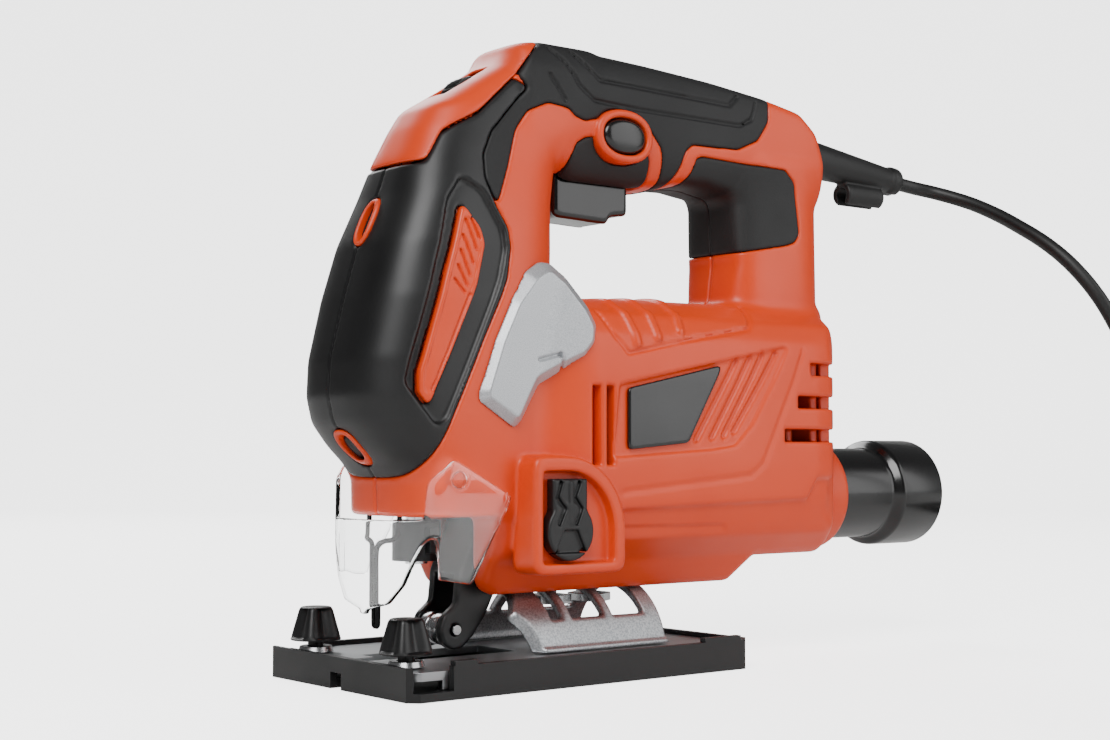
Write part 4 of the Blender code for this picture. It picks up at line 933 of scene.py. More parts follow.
@dataclass
class Housing:
    """The two orange clamshell halves with their ledges, vents, sockets and inner walls."""

    form: ToolForm
    wall: float = 4.9
    cover_seat: float = 1.7
    head_seat: float = 3.6
    ledge: float = 1.1
    flank_inside: float = 22.0
    lower_depth: float = 1.5
    pocket_depth: float = 1.2
    # half width and depth, or height, of each kind of groove and rib
    panel_groove: tuple[float, float] = (0.95, 1.1)
    crest_groove: tuple[float, float] = (0.55, 0.8)
    bend_groove: tuple[float, float] = (0.7, 0.5)
    back_rib: tuple[float, float] = (1.5, 1.1)
    bezel_face: float = 36.3
    pocket_floor: float = 32.4
    drum_room: float = 25.4
    port_bore: float = 17.4
    boss_radius: float = 4.2
    screw_head_radius: float = 3.3
    screw_radius: float = 2.1
    side_vents: tuple[float, float] = (5.8, 11.2)
    side_vent_width: float = 3.2
    rear_vent_start: tuple[float, float] = (91.5, 74.7)
    rear_vent_step: tuple[float, float] = (6.7, 11.6)
    rear_vent_height: float = 4.4
    # walls across the motor: middle, half thickness, and the radius left open round the axle
    walls: Sequence[tuple[float, float, float]] = (
        (25, 1.8, 11.4), (70, 2.2, 28), (114.5, 1.8, 9.9), (102, 1.6, 12),
    )
    brush_wall: float = 102
    bush_levels: tuple[float, float] = (66, 126)

    def __post_init__(self) -> None:
        """Maps the outlines that are let into or laid on the side faces."""
        self.head_cover = Outline(HEAD_COVER_SIDE, 1.0)
        self.cap = Outline(CAP_SIDE, 1.0)
        self.grip = Outline(GRIP_SIDE, 1.0)
        self.rear = Outline(REAR_SIDE, 1.0)
        self.surround = Outline(SURROUND_SIDE, 0.8)
        self.panel = Outline(PANEL_SIDE, 1.0)
        self.lower = Outline(LOWER_SIDE, 1.0)
        self.pocket = Outline(POCKET_SIDE, 1.0)
        self.sweep = Outline(lever_sweep(LEVER_POCKET, 9.8), 1.0)
        self.bezel = Outline(lever_sweep(LEVER_POCKET + 4.6, 13.2), 3.0)

    def reliefs(self, form: Array, x: Array, y: Array, z: Array) -> Array:
        """The side faces' ledges, grooves and ribs.

        Args:
            form: the form so far.
            x, y, z: where the form is read, in millimetres.

        Returns:
            The form with them.
        """
        flank = self.flank_inside - np.abs(y)
        form = sunk(form, both(self.lower(x, z), flank + 6, 1), self.lower_depth, 1.6)
        form = sunk(form, both(self.pocket(x, z), flank + 6, 1), self.pocket_depth, 1.0)
        form = sunk(form, both(self.panel(x, z), flank, 1), self.ledge, 0.8)
        half, depth = self.panel_groove
        for line in PANEL_GROOVES:
            form = sunk(form, both(strip(x, z, line, half), flank, 1), depth, 0.6)
        half, depth = self.crest_groove
        form = sunk(form, both(strip(x, z, CREST_GROOVE, half), flank - 8, 1), depth, 0.6)
        half, depth = self.bend_groove
        form = sunk(form, both(strip(x, z, BEND_GROOVE, half), flank, 1), depth, 0.8)
        half, height = self.back_rib
        for line in BACK_RIBS:
            form = raised(form, strip(x, z, line, half), height, 1.0)
        return form

    def seats(self, form: Array, x: Array, y: Array, z: Array) -> Array:
        """The recesses that the covers and grips lie in.

        Args:
            form: the form so far.
            x, y, z: where the form is read, in millimetres.

        Returns:
            The form with them.
        """
        form = sunk(form, self.head_cover(x, z) - GAP, self.head_seat)
        for outline in (self.cap, self.grip, self.rear, self.surround):
            form = sunk(form, outline(x, z) - GAP, self.cover_seat)
        return form

    def sockets(self, form: Array, x: Array, y: Array, z: Array) -> Array:
        """The raised bezel round the lever and the ring round the lock-on button, both on the left.

        Args:
            form: the form so far.
            x, y, z: where the form is read, in millimetres.

        Returns:
            The form with them.
        """
        form = either(form, both(self.bezel(x, z), slab(y, -self.bezel_face, -24), 1.6), 0.8)
        ring = button_oval(x, z, BUTTON_RING_HALF)
        return either(form, both(ring, slab(y, -19.7, -12), 1.6), 0.5)

    def hollow(self, x: Array, y: Array, z: Array) -> Array:
        """The space inside the wall, over the floor that covers the tilting drum."""
        floor = both(np.hypot(y, z - TILT_HEIGHT) - 28.3, slab(x, -37, 100), 0.5)
        return cut(self.form.outer(x, y, z) + self.wall, floor, 0.5)

    def ribs(self, x: Array, y: Array, z: Array) -> Array:
        """The walls across the inside that hold the bearings, the motor and the bushes.

        Args:
            x, y, z: where the form is read, in millimetres.

        Returns:
            The form there.
        """
        ribs = np.full(np.broadcast_shapes(x.shape, y.shape, z.shape), 50.0)
        axle = np.hypot(y, z - MOTOR_HEIGHT)
        for middle, half, bore in self.walls:
            wall = np.maximum(np.maximum(slab(x, middle - half, middle + half), slab(z, 35, 118)),
                              bore - axle)
            if middle == self.brush_wall:
                wall = np.maximum(wall, -np.maximum(np.abs(y) - 22.3, slab(z, 70.2, 77.8)))
            ribs = np.minimum(ribs, wall)
        rod = np.hypot(x + 39, y)
        for middle in self.bush_levels:
            wall = np.maximum(np.maximum(slab(z, middle - 2, middle + 2), slab(x, -70, -28)),
                              7.3 - rod)
            ribs = np.minimum(ribs, wall)
        for along, rise in SCREW_PLACES:
            ribs = np.minimum(ribs, np.hypot(x - along, z - rise) - self.boss_radius)
        return np.maximum(ribs, self.form.outer(x, y, z) + 2.7)

    def openings(self, form: Array, x: Array, y: Array, z: Array) -> Array:
        """Cuts the drum's channel, the blade mouth, the bores, vents, lever pocket and slots.

        Args:
            form: the form so far.
            x, y, z: where the form is read, in millimetres.

        Returns:
            The form with them.
        """
        side = np.abs(y)
        drum = np.hypot(y, z - TILT_HEIGHT) - self.drum_room
        form = cut(form, both(drum, slab(x, -60, 100), 0.5), 0.8)
        form = cut(form, block(x, y, z, (-49, -11, 20), (-8.5, 11, 56)), 1.0)
        port = np.hypot(y, z - self.form.port_height) - self.port_bore
        form = cut(form, both(port, 115 - x, 0.5), 1.0)
        form = cut(form, block(x, y, z, (8.5, -8.3, 140), (43.5, 8.3, 172)), 0.6)
        button = button_oval(x, z, BUTTON_HALF, 0.4)
        form = cut(form, both(button, slab(y, -30, -5), 0.5), 1.0)
        form = cut(form, both(np.hypot(y, z - 183) - 6.3, 115 - x, 0.5), 0.6)
        form = cut(form, both(self.sweep(x, z), slab(y, -45, -self.pocket_floor), 0.8), 1.0)
        lever = np.hypot(x - LEVER_CENTRE[0], z - LEVER_CENTRE[1]) - 5.9
        form = cut(form, both(lever, slab(y, -40, -20), 0.5), 0.5)
        form = cut(form, dial_slot(x, y, z), 0.4)
        for start in self.side_vents:
            form = cut(form, block(x, side, z, (start, 28.5, 67),
                                   (start + self.side_vent_width, 45, 92.2)), 0.7)
        for row in range(3):
            start, low = (a + b * row for a, b in zip(self.rear_vent_start, self.rear_vent_step))
            form = cut(form, block(x, side, z, (start, 24.5, low),
                                   (135, 45, low + self.rear_vent_height)), 0.8)
        for across in (-8.4, 8.4):
            hole = both(np.hypot(x + 51, y - across) - 1.2, slab(z, 45, 59.5), 0.3)
            form = cut(form, hole, 0.3)
        for along, rise in SCREW_PLACES:
            reach = np.hypot(x - along, z - rise)
            form = cut(form, np.maximum(reach - self.screw_head_radius, 11.5 - y), 0.4)
            form = cut(form, np.maximum(reach - self.screw_radius, -12 - y), 0.3)
        return form

    def shell(self, x: Array, y: Array, z: Array) -> Array:
        """Both halves together: the skin with its reliefs and seats, less the hollow, plus ribs.

        Args:
            x, y, z: where the form is read, in millimetres.

        Returns:
            The form there.
        """
        form = self.reliefs(self.form.outer(x, y, z), x, y, z)
        form = self.seats(form, x, y, z)
        form = self.sockets(form, x, y, z)
        form = cut(form, self.hollow(x, y, z), 0.4)
        form = either(form, self.ribs(x, y, z), 0.4)
        return self.openings(form, x, y, z)

    def half(self, x: Array, y: Array, z: Array, sign: int) -> Array:
        """One half of the shell, with a rounded parting edge on the middle plane."""
        return both(self.shell(x, y, z), GAP - sign * y, 0.6)

    def build(self, bench: Bench) -> None:
        """Makes the two halves, each its own closed moulding.

        Args:
            bench: what takes the pieces.
        """
        for name, sign in SIDES:
            low_y, high_y = sorted((0, sign * 37))
            bench.moulding(f"clamshell_{name}", partial(self.half, sign=sign), (-73, low_y, 24),
                           (140, high_y, 206), (0.85, 1.0, 0.85), ORANGE_ABS, "housing",
                           [f"housing_{name}"])


@dataclass
class Covers:
    """What lies in the housing's seats: head cover, cap, grips, vents, light ring and nose clip."""

    housing: Housing
    thick: float = 1.4
    head_thick: float = 3.3
    trough_depth: float = 1.8
    seam_half: float = 0.35
    seam_depth: float = 0.45
    ring_wall: float = 1.6
    ring_height: float = 0.8
    slot_half: float = 0.42
    slot_depth: float = 0.9
    groove_half: float = 0.6
    groove_depth: float = 0.75
    vent_inside: float = 10.0
    frame_inside: float = 8.6

    def __post_init__(self) -> None:
        """Maps the leaf-shaped vent and the trough round it."""
        self.outer = self.housing.form.outer
        self.leaf = Outline(LEAF_SIDE, 1.0)
        self.trough = Outline(TROUGH_SIDE, 1.5)

    def head(self, x: Array, y: Array, z: Array) -> Array:
        """The black cover that wraps the head, with its trough, crease, centre seam and holes.

        Args:
            x, y, z: where the form is read, in millimetres.

        Returns:
            The form there.
        """
        outer, side = self.outer(x, y, z), np.abs(y)
        form = sunk(outer, both(self.trough(x, z), 12 - side, 2), self.trough_depth, 1.4)
        form = sunk(form, both(side - self.seam_half, x + 30, 1), self.seam_depth, 0.4)
        form = both(form, -(outer + self.head_thick), 0.5)
        form = both(form, self.housing.head_cover(x, z) + GAP, 0.8)
        form = cut(form, both(self.leaf(x, z) - GAP, 10 - side, 0.5), 0.5)
        for _, level, half_y, half_z, _ in FRONT_RINGS:
            hole = oval(y, z - level, half_y + 0.2, half_z + 0.2)
            lens = oval(y, z - level, half_y - 1.8, half_z - 1.8)
            front = x + 40
            form = sunk(form, both(lens, front, 0.5), 0.9, 0.4)
            form = cut(form, both(both(hole, -lens, 0.3), front, 0.5), 0.6)
        return form

    def vent(self, x: Array, y: Array, z: Array, sign: int) -> Array:
        """The orange leaf: a nearly flat face with a rim line, six thin slots and a long groove.

        Args:
            x, y, z: where the form is read, in millimetres.
            sign: -1 for the left side, 1 for the right.

        Returns:
            The form there.
        """
        outer = self.outer(x, y, z)
        form = sunk(outer - 0.2, self.leaf(x, z) + 1.5, 0.35, 0.3)
        for line in LEAF_SLOTS:
            form = sunk(form, strip(x, z, line, self.slot_half), self.slot_depth, 0.25)
        form = sunk(form, strip(x, z, LEAF_GROOVE, 0.5), 0.6, 0.4)
        form = both(form, -(outer + 2.2), 0.5)
        form = both(form, self.leaf(x, z) + GAP, 0.9)
        return both(form, self.vent_inside - sign * y, 0.4)

    def ring(self, x: Array, y: Array, z: Array, level: float, half_y: float,
             half_z: float) -> Array:
        """An orange ring let into the head's front: between two ovals, its face rounded over.

        Args:
            x, y, z: where the form is read, in millimetres.
            level: the ring's height.
            half_y: half its width.
            half_z: half its height.

        Returns:
            The form there.
        """
        outer = self.outer(x, y, z)
        form = both(outer - self.ring_height, oval(y, z - level, half_y, half_z), 1.4)
        form = both(form, -(outer + 2.0), 0.4)
        form = cut(form, oval(y, z - level, half_y - self.ring_wall, half_z - self.ring_wall),
                   0.8)
        return both(form, x + 42, 0.4)

    def cap(self, x: Array, y: Array, z: Array) -> Array:
        """The orange cap over the front of the handle, with the dial's slot and a step round it.

        Args:
            x, y, z: where the form is read, in millimetres.

        Returns:
            The form there.
        """
        outer = self.outer(x, y, z)
        form = both(outer, self.housing.cap(x, z) + GAP, 0.8)
        form = both(form, -(outer + self.thick), 0.4)
        return cut(form, dial_slot(x, y, z), 0.6)

    def grip(self, x: Array, y: Array, z: Array, sign: int) -> Array:
        """One half of the soft handle grip, with three grooves that follow the handle.

        Args:
            x, y, z: where the form is read, in millimetres.
            sign: -1 for the left side, 1 for the right.

        Returns:
            The form there.
        """
        outer = self.outer(x, y, z)
        form = outer
        for line in GRIP_GROOVES:
            form = sunk(form, strip(x, z, line, self.groove_half), self.groove_depth, 0.5)
        form = both(form, self.housing.grip(x, z) + GAP, 0.9)
        form = both(form, -(outer + self.thick), 0.4)
        form = both(form, GAP - sign * y, 0.4)
        hole = button_oval(x, z, BUTTON_RING_HALF, 0.3)
        return cut(form, np.maximum(hole, y), 0.5)

    def rear(self, x: Array, y: Array, z: Array, sign: int) -> Array:
        """One half of the soft grip inside the rear of the handle's opening.

        Args:
            x, y, z: where the form is read, in millimetres.
            sign: -1 for the left side, 1 for the right.

        Returns:
            The form there.
        """
        outer = self.outer(x, y, z)
        form = both(outer, self.housing.rear(x, z) + GAP, 0.9)
        form = both(form, -(outer + self.thick), 0.4)
        return both(form, GAP - sign * y, 0.4)

    def surround(self, x: Array, y: Array, z: Array, sign: int) -> Array:
        """The black frame round the trigger on one side, under the button's ring.

        Args:
            x, y, z: where the form is read, in millimetres.
            sign: -1 for the left side, 1 for the right.

        Returns:
            The form there.
        """
        outer = self.outer(x, y, z)
        form = both(outer - 0.2, self.housing.surround(x, z) + GAP, 0.9)
        form = both(form, -(outer + self.thick), 0.4)
        form = both(form, self.frame_inside - sign * y, 0.5)
        hole = button_oval(x, z, BUTTON_RING_HALF, 0.3)
        return cut(form, np.maximum(hole, y), 0.5)

    def build(self, bench: Bench) -> None:
        """Makes the covers, each its own moulding.

        Args:
            bench: what takes the pieces.
        """
        bench.moulding("head_shroud", self.head, (-73, -29, 60), (-8, 29, 191), 0.72, HEAD_BLACK,
                       "housing", ["head_cover"])
        bench.moulding("dial_cap", self.cap, (-52, -22, 156), (1, 22, 206), 0.6, ORANGE_ABS,
                       "housing", ["top_cap"])
        for name, level, half_y, half_z, node in FRONT_RINGS:
            ring = partial(self.ring, level=level, half_y=half_y, half_z=half_z)
            bench.moulding(name, ring, (-74, -6, level - 8), (-44, 6, level + 8), 0.4, ORANGE_ABS,
                           "housing", [node])
        for name, sign in SIDES:
            low_y, high_y = sorted((0, sign * 31))
            bench.moulding(f"leaf_vent_{name}", partial(self.vent, sign=sign), (-58, low_y, 82),
                           (-29, high_y, 149), 0.45, ORANGE_ABS, "housing",
                           [f"head_vent_{name}"])
            bench.moulding(f"soft_grip_{name}", partial(self.grip, sign=sign), (-31, low_y, 146),
                           (112, high_y, 206), 0.65, SOFT_GRIP, "housing",
                           [f"handle_grip_{name}"])
            bench.moulding(f"rear_pad_{name}", partial(self.rear, sign=sign), (58, low_y, 139),
                           (118, high_y, 176), 0.65, SOFT_GRIP, "housing",
                           [f"rear_grip_{name}"])
            bench.moulding(f"trigger_frame_{name}", partial(self.surround, sign=sign),
                           (8, low_y, 155), (47, high_y, 176), 0.5, SOFT_GRIP, "housing")


@dataclass
class Trim:
    """The silver side covers and the blank badges laid on the housing."""

    form: ToolForm
    badge_height: float = 0.9
    badge_inset: float = 0.6
    badge_inside: float = 14.0
    front_face: float = 30.6
    lean: float = 0.19
    bend_start: tuple[float, float] = (-12, 104)
    bend_slope: float = 0.25
    chamfer: float = 3.4
    cover_inside: float = 12.0

    def __post_init__(self) -> None:
        """Maps the two outlines."""
        self.silver = Outline(SILVER_SIDE, 1.0)
        self.badge = Outline(BADGE_SIDE, 0.8)

    def cover(self, x: Array, y: Array, z: Array, sign: int) -> Array:
        """The silver cover: a face bent once along the head, with a broad chamfer all round.

        In front the face lies level with the middle plane, and behind the bend it leans outwards,
        so it bridges the hollow between head and motor body.

        Args:
            x, y, z: where the form is read, in millimetres.
            sign: -1 for the left side, 1 for the right.

        Returns:
            The form there.
        """
        outer = self.form.outer(x, y, z)
        bend = x - self.bend_start[0] - self.bend_slope * (z - self.bend_start[1])
        face = np.abs(y) - self.front_face - self.lean * both(bend, bend * 0, 3.0)
        form = chamfered(face, self.silver(x, z), self.chamfer)
        for line in SILVER_NOTCHES:
            form = sunk(form, strip(x, z, line, 0.5), 0.9, 0.6)
        form = both(form, 0.2 - outer, 0.3)
        return both(form, self.cover_inside - sign * y, 0.4)

    def plate(self, x: Array, y: Array, z: Array, sign: int) -> Array:
        """The badge: a thin black plate in the side panel, its edge softly rounded.

        Args:
            x, y, z: where the form is read, in millimetres.
            sign: -1 for the left side, 1 for the right.

        Returns:
            The form there.
        """
        outer = self.form.outer(x, y, z)
        form = both(outer - self.badge_height + self.badge_inset, self.badge(x, z), 0.7)
        form = both(form, -(outer + 1.0), 0.3)
        return both(form, self.badge_inside - sign * y, 0.4)

    def build(self, bench: Bench) -> None:
        """Makes both sides.

        Args:
            bench: what takes the pieces.
        """
        for name, sign in SIDES:
            low_y, high_y = sorted((sign * 12, sign * 38))
            bench.moulding(f"silver_shield_{name}", partial(self.cover, sign=sign),
                           (-38, low_y, 76), (10, high_y, 132), 0.45, SILVER_PAINT, "housing",
                           [f"silver_cover_{name}"])
            bench.moulding(f"blank_badge_{name}", partial(self.plate, sign=sign),
                           (18, low_y, 70), (64, high_y, 102), 0.5, GLOSS_BLACK, "housing",
                           [f"badge_{name}"])


# ------------------------------------------------------------------ controls


@dataclass
class Controls:
    """The trigger, lock-on button, speed dial and pendulum lever."""

    dial_centre: tuple[float, float, float] = (-18.9, 0.0, 181.6)
    dial_radius: float = 10.2
    dial_half: float = 3.7
    dial_axle_radius: float = 2.5
    dial_axle_half: float = 8.3
    knurls: int = 40
    knurl_depth: float = 0.55
    trigger_half: float = 7.6
    button_face: float = 20.5
    lever_hub: float = 9.0
    lever_bar: tuple[float, float] = (6.8, 16.2)
    lever_shaft: float = 5.5

    def __post_init__(self) -> None:
        """Maps the trigger's side."""
        self.trigger_side = Outline([(9.6, 170), (9.6, 149.4), (12, 148.2), (33, 147.6),
                                     (34.7, 150.2), (42.2, 151.2), (42.2, 170)], 0.8)

    def trigger(self, x: Array, y: Array, z: Array) -> Array:
        """The trigger: its side outline with well-rounded edges, hollowed a little for the finger.

        Args:
            x, y, z: where the form is read, in millimetres.

        Returns:
            The form there.
        """
        form = both(self.trigger_side(x, z), np.abs(y) - self.trigger_half, 2.6)
        form = both(form, z - 165, 0.5)
        return sunk(form, both(np.abs(y) - self.trigger_half + 2, z - 151.5, 1), 0.25, 0.6)

    def button(self, x: Array, y: Array, z: Array) -> Array:
        """The lock-on button: an oval plug with a domed face.

        Args:
            x, y, z: where the form is read, in millimetres.

        Returns:
            The form there.
        """
        u, v = x - BUTTON_CENTRE[0], z - BUTTON_CENTRE[1]
        dome = -self.button_face + 0.012 * u * u + 0.03 * v * v - y
        return both(both(button_oval(x, z, BUTTON_HALF), dome, 1.8), y + 13.5, 0.5)

    def lever(self, x: Array, y: Array, z: Array) -> Array:
        """The pendulum lever: a hub, a finger bar with zigzag steps, a spine and a pointer.

        Args:
            x, y, z: where the form is read, in millimetres.

        Returns:
            The form there.
        """
        u, v = x - LEVER_CENTRE[0], z - LEVER_CENTRE[1]
        disc = np.hypot(u, v) - self.lever_hub
        half, length = self.lever_bar
        bar = np.maximum(np.abs(u) - half, slab(v, 0, length))
        form = both(disc, slab(y, -37.4, -32.9), 1.0)
        form = either(form, both(bar, slab(y, -37.1, -33.1), 1.2), 0.6)
        for line in LEVER_ZIGZAGS:
            form = sunk(form, strip(u, v, line, 0.7), 1.2, 0.5)
        wedge = np.maximum(np.abs(u) - (3.4 - 0.5 * (v + 1)), slab(v, -6.5, 0.5))
        form = sunk(form, wedge, 1.3, 0.5)
        spine = both(strip(u, v, LEVER_SPINE, 0.8), slab(y, -37.45, -34), 0.5)
        form = either(form, spine, 0.5)
        shaft = both(np.hypot(u, v) - self.lever_shaft, slab(y, -35, -23.5), 0.6)
        return either(form, shaft, 0.4)

    def build(self, bench: Bench) -> None:
        """Makes the controls, each on its own body.

        Args:
            bench: what takes the pieces.
        """
        bench.moulding("finger_trigger", self.trigger, (8, -9, 146), (44, 9, 166), 0.5, GLOSS_BLACK,
                       "trigger", ["trigger"])
        bench.moulding("lock_on_button", self.button, (20, -21.5, 168), (42, -12.5, 183), 0.4,
                       GLOSS_BLACK, "lock", ["lock_button"])
        bench.moulding("stroke_lever", self.lever, (-17, -38.5, 36), (3, -22.5, 64), 0.4, NYLON,
                       "lever", ["pendulum_lever"])
        half, thin, end = self.dial_half, self.dial_axle_radius, -self.dial_axle_half
        rim = rounded_profile([(AXIS, half), (self.dial_radius, half), (self.dial_radius, -half),
                               (AXIS, -half)], 0.6)
        axle = [(thin, end), (thin, -3.0), (AXIS, -3.0), (AXIS, end)]
        steps = 6 * self.knurls
        wheel, wheel_faces = turned(rim[::-1], self.dial_centre, 1, steps, self.knurls,
                                    self.knurl_depth, (0.1 - half, half - 0.1))
        low, low_faces = turned(axle, self.dial_centre, 1, steps)
        high, high_faces = turned([(r, -h) for r, h in axle][::-1], self.dial_centre, 1, steps)
        points = np.concatenate([wheel, low, high])
        faces = np.concatenate([wheel_faces, low_faces + len(wheel),
                                high_faces + len(wheel) + len(low)])
        bench.piece("speed_wheel", (points, faces), NYLON, "dial", ["speed_dial"],
                    sharp=35)


# ------------------------------------------------------------------ nose


ROLLER_PROFILE = [
    (1.9, -4.9), (5.2, -4.9), (5.2, -1.2), (4.6, -0.6), (4.6, 0.6), (5.2, 1.2), (5.2, 4.9),
    (1.9, 4.9),
]


@dataclass
class Nose:
    """What shows under the head: clear shield, wire guard, clamp, roller guide."""

    plan_half: Points = ((30.2, -22), (30.2, -47), (28, -51.5), (21, -55.5), (11, -58),
                         (0.5, -58.7))
    shield_wall: float = 1.6
    guard_half: Sequence[tuple[float, float, float]] = (
        (-51.0, 8.4, 58.8), (-51.0, 8.4, 47.0), (-52.0, 7.2, 44.6), (-52.8, 4.0, 44.0),
        (-53.4, 1.8, 42.8), (-53.8, 1.2, 40.0), (-53.8, 1.2, 30.0), (-53.8, 1.2, 19.5),
        (-53.8, 0.7, 17.9),
    )
    guard_radius: float = 0.8
    roller: tuple[float, float, float] = (-30.0, 0.0, 16.0)
    hinge: tuple[float, float] = (-43.0, 62.7)
    hinge_radius: float = 2.4
    pivot: tuple[float, float] = (-14.0, 46.0)
    pivot_radius: float = 2.5
    fork_half: float = 8.4
    fork_gap: float = 5.4
    pin_radius: float = 1.9

    def __post_init__(self) -> None:
        """Maps the shield's plan and side, its front notches and the fork's side."""
        self.plan = Outline(swapped(mirrored(self.plan_half)), 2.5)
        self.side = Outline([(-24, 57.6), (-45.5, 69), (-51.9, 62.6), (-52.6, 50.6), (-66, 50.6),
                             (-66, 22), (-53, 22), (-50.3, 33.4), (-39.3, 31.5)], 0.8)
        self.notch = Outline([(1.5, 5), (1.5, 23.2), (12, 25.5), (18, 31.5), (24, 43.5),
                              (27.2, 46.5), (28.6, 33), (36, 33), (36, 5)], 0.8)
        self.fork_side = Outline([(-34.5, 11.8), (-35.8, 16), (-34, 20.5), (-29.5, 24),
                                  (-28.5, 34), (-21, 50), (-10, 50), (-9.6, 44), (-14.6, 27),
                                  (-18, 20), (-23, 13.6), (-27, 10.2), (-31, 9.6)], 1.0)

    def shield(self, x: Array, y: Array, z: Array) -> Array:
        """The clear shield: a wall of 1.6 mm round the plan, trimmed to its side and its notches.

        Args:
            x, y, z: where the form is read, in millimetres.

        Returns:
            The form there.
        """
        plan = self.plan(x, y)
        form = both(plan, -(plan + self.shield_wall), 0.3)
        form = both(form, x + 24, 0.3)
        form = both(form, self.side(x, z), 0.5)
        form = cut(form, both(self.notch(np.abs(y), z), x + 49.7, 0.5), 0.5)
        peg = both(np.hypot(x - self.hinge[0], z - self.hinge[1]) - self.hinge_radius,
                   slab(np.abs(y), 24, 29.3), 0.4)
        return either(form, peg, 0.5)

    def fork(self, x: Array, y: Array, z: Array) -> Array:
        """The roller's fork: two cheeks below, one block above, on a cross pivot.

        Args:
            x, y, z: where the form is read, in millimetres.

        Returns:
            The form there.
        """
        form = both(self.fork_side(x, z), np.abs(y) - self.fork_half, 1.2)
        form = cut(form, both(np.abs(y) - self.fork_gap, z - 33, 1), 0.8)
        form = cut(form, np.hypot(x - self.roller[0], z - self.roller[2]) - self.pin_radius, 0.3)
        pivot = both(np.hypot(x - self.pivot[0], z - self.pivot[1]) - self.pivot_radius,
                     np.abs(y) - 14, 0.5)
        return either(form, pivot, 0.4)

    def build(self, bench: Bench) -> None:
        """Makes the nose's pieces.

        Args:
            bench: what takes the pieces.
        """
        bench.moulding("clear_shield", self.shield, (-60, -31, 21), (-22, 31, 71), 0.5, CLEAR_PC,
                       "shield", ["dust_shield"])
        half = smooth_line(self.guard_half, 5)
        other = half[::-1] * (1, -1, 1)
        bench.piece("finger_guard", tube(np.concatenate([half, other]), self.guard_radius, 12),
                    BLACK_STEEL, "housing", ["guard_wire"], sharp=50)
        bench.moulding("guide_fork", self.fork, (-37, -15, 8), (-8, 15, 52), 0.5, NYLON, "fork",
                       ["roller_fork"])
        wheel = rounded_profile(ROLLER_PROFILE, 0.4, 3)
        bench.piece("backing_roller", turned(wheel, self.roller, 1, 48), GROUND_STEEL, "roller",
                    ["guide_roller"], sharp=40)
        bench.from_node("roller_pin", GROUND_STEEL, "fork", 0.2)
        bench.from_node("blade_clamp", BLACK_STEEL, "clamp", 0.4)


# ------------------------------------------------------------------ sole


KNOB_PROFILE = [
    (AXIS, 22.6), (4.6, 22.6), (5.4, 21.8), (7.7, 13.8), (8, 12.2), (2.4, 12.2), (2.4, 6.6),
    (AXIS, 6.6),
]


@dataclass
class Sole:
    """The plastic tray, its steel plate, the cast tilting bracket and the fence clamps."""

    tilt_radius: float = 24.5
    bracket_wall: float = 3.0
    drum_span: tuple[float, float] = (-25.5, 44.0)
    flange: tuple[float, float] = (20.5, 25.4)
    flange_top: float = 10.0
    foot: float = 8.6
    windows: Sequence[tuple[float, float]] = ((-1.5, 3.5), (7.0, 20.5), (24.0, 37.5))
    window_foot: float = 18.2
    knob_flutes: int = 4
    flute_depth: float = 2.3
    flute_band: tuple[float, float] = (12.9, 22.2)
    knob_place: tuple[float, float] = (-59.7, 25.5)

    def __post_init__(self) -> None:
        """Maps the bracket's front slope and its bow in plan."""
        self.slope = Outline([(-46, 0), (-25.7, 8.6), (-7.4, 29.6), (-7, 46), (-46, 46)], 1.0)
        self.bow = Outline([(-46, 2), (-25.5, 9.8), (-10.2, 21.8), (-6, 27), (-6, 40), (-46, 40)],
                           1.0)

    def bracket(self, x: Array, y: Array, z: Array) -> Array:
        """The bracket: half a drum about the tilt line, with windows, a sloped bow and flanges.

        Args:
            x, y, z: where the form is read, in millimetres.

        Returns:
            The form there.
        """
        reach = np.hypot(y, z - TILT_HEIGHT)
        drum = both(reach - self.tilt_radius, self.tilt_radius - self.bracket_wall - reach, 0.6)
        drum = both(drum, slab(x, *self.drum_span), 1.2)
        flange = both(both(slab(np.abs(y), *self.flange), slab(x, -8, self.drum_span[1]), 1),
                      z - self.flange_top, 1.0)
        form = either(drum, flange, 1.2)
        form = both(form, self.foot - z, 0.3)
        form = cut(form, self.slope(x, z), 1.0)
        form = cut(form, self.bow(x, np.abs(y)), 1.0)
        for low, high in self.windows:
            form = cut(form, both(slab(x, low, high), self.window_foot - z, 1.2), 1.0)
        return form

    def build(self, bench: Bench) -> None:
        """Makes the sole's pieces, with the clamps on bodies of their own.

        Args:
            bench: what takes the pieces.
        """
        bench.from_node("shoe_cover", NYLON, "shoe", 0.6, 3)
        bench.from_node("shoe_plate", PRESSED_STEEL, "shoe", 0.4, 3)
        bench.moulding("cast_bracket", self.bracket, (-27, -28, 8), (45, 28, 31), 0.5, DIE_CAST,
                       "shoe", ["bevel_bracket"])
        x, across = self.knob_place
        for name, sign in SIDES:
            knob = turned(rounded_profile(KNOB_PROFILE[::-1], 0.5), (x, sign * across, 0), 2, 96,
                          self.knob_flutes, self.flute_depth, self.flute_band)
            bench.piece(f"clamp_knob_{name}", knob, NYLON, f"knob_{name}",
                        [f"fence_knob_{name}"], sharp=38)
            bench.from_node(f"fence_washer_{name}", GROUND_STEEL, "shoe", 0.2)
        for node in ("bracket_bolt_1", "bracket_bolt_2"):
            bench.from_node(node, GROUND_STEEL, "housing", 0.3)


# ------------------------------------------------------------------ rear, lead and inside


ADAPTER_PROFILE = [
    (14.6, 119.5), (16.9, 119.5), (16.9, 166.5), (20, 169.2), (20, 191.5), (17.9, 191.5),
    (17.8, 171), (14.6, 165),
]


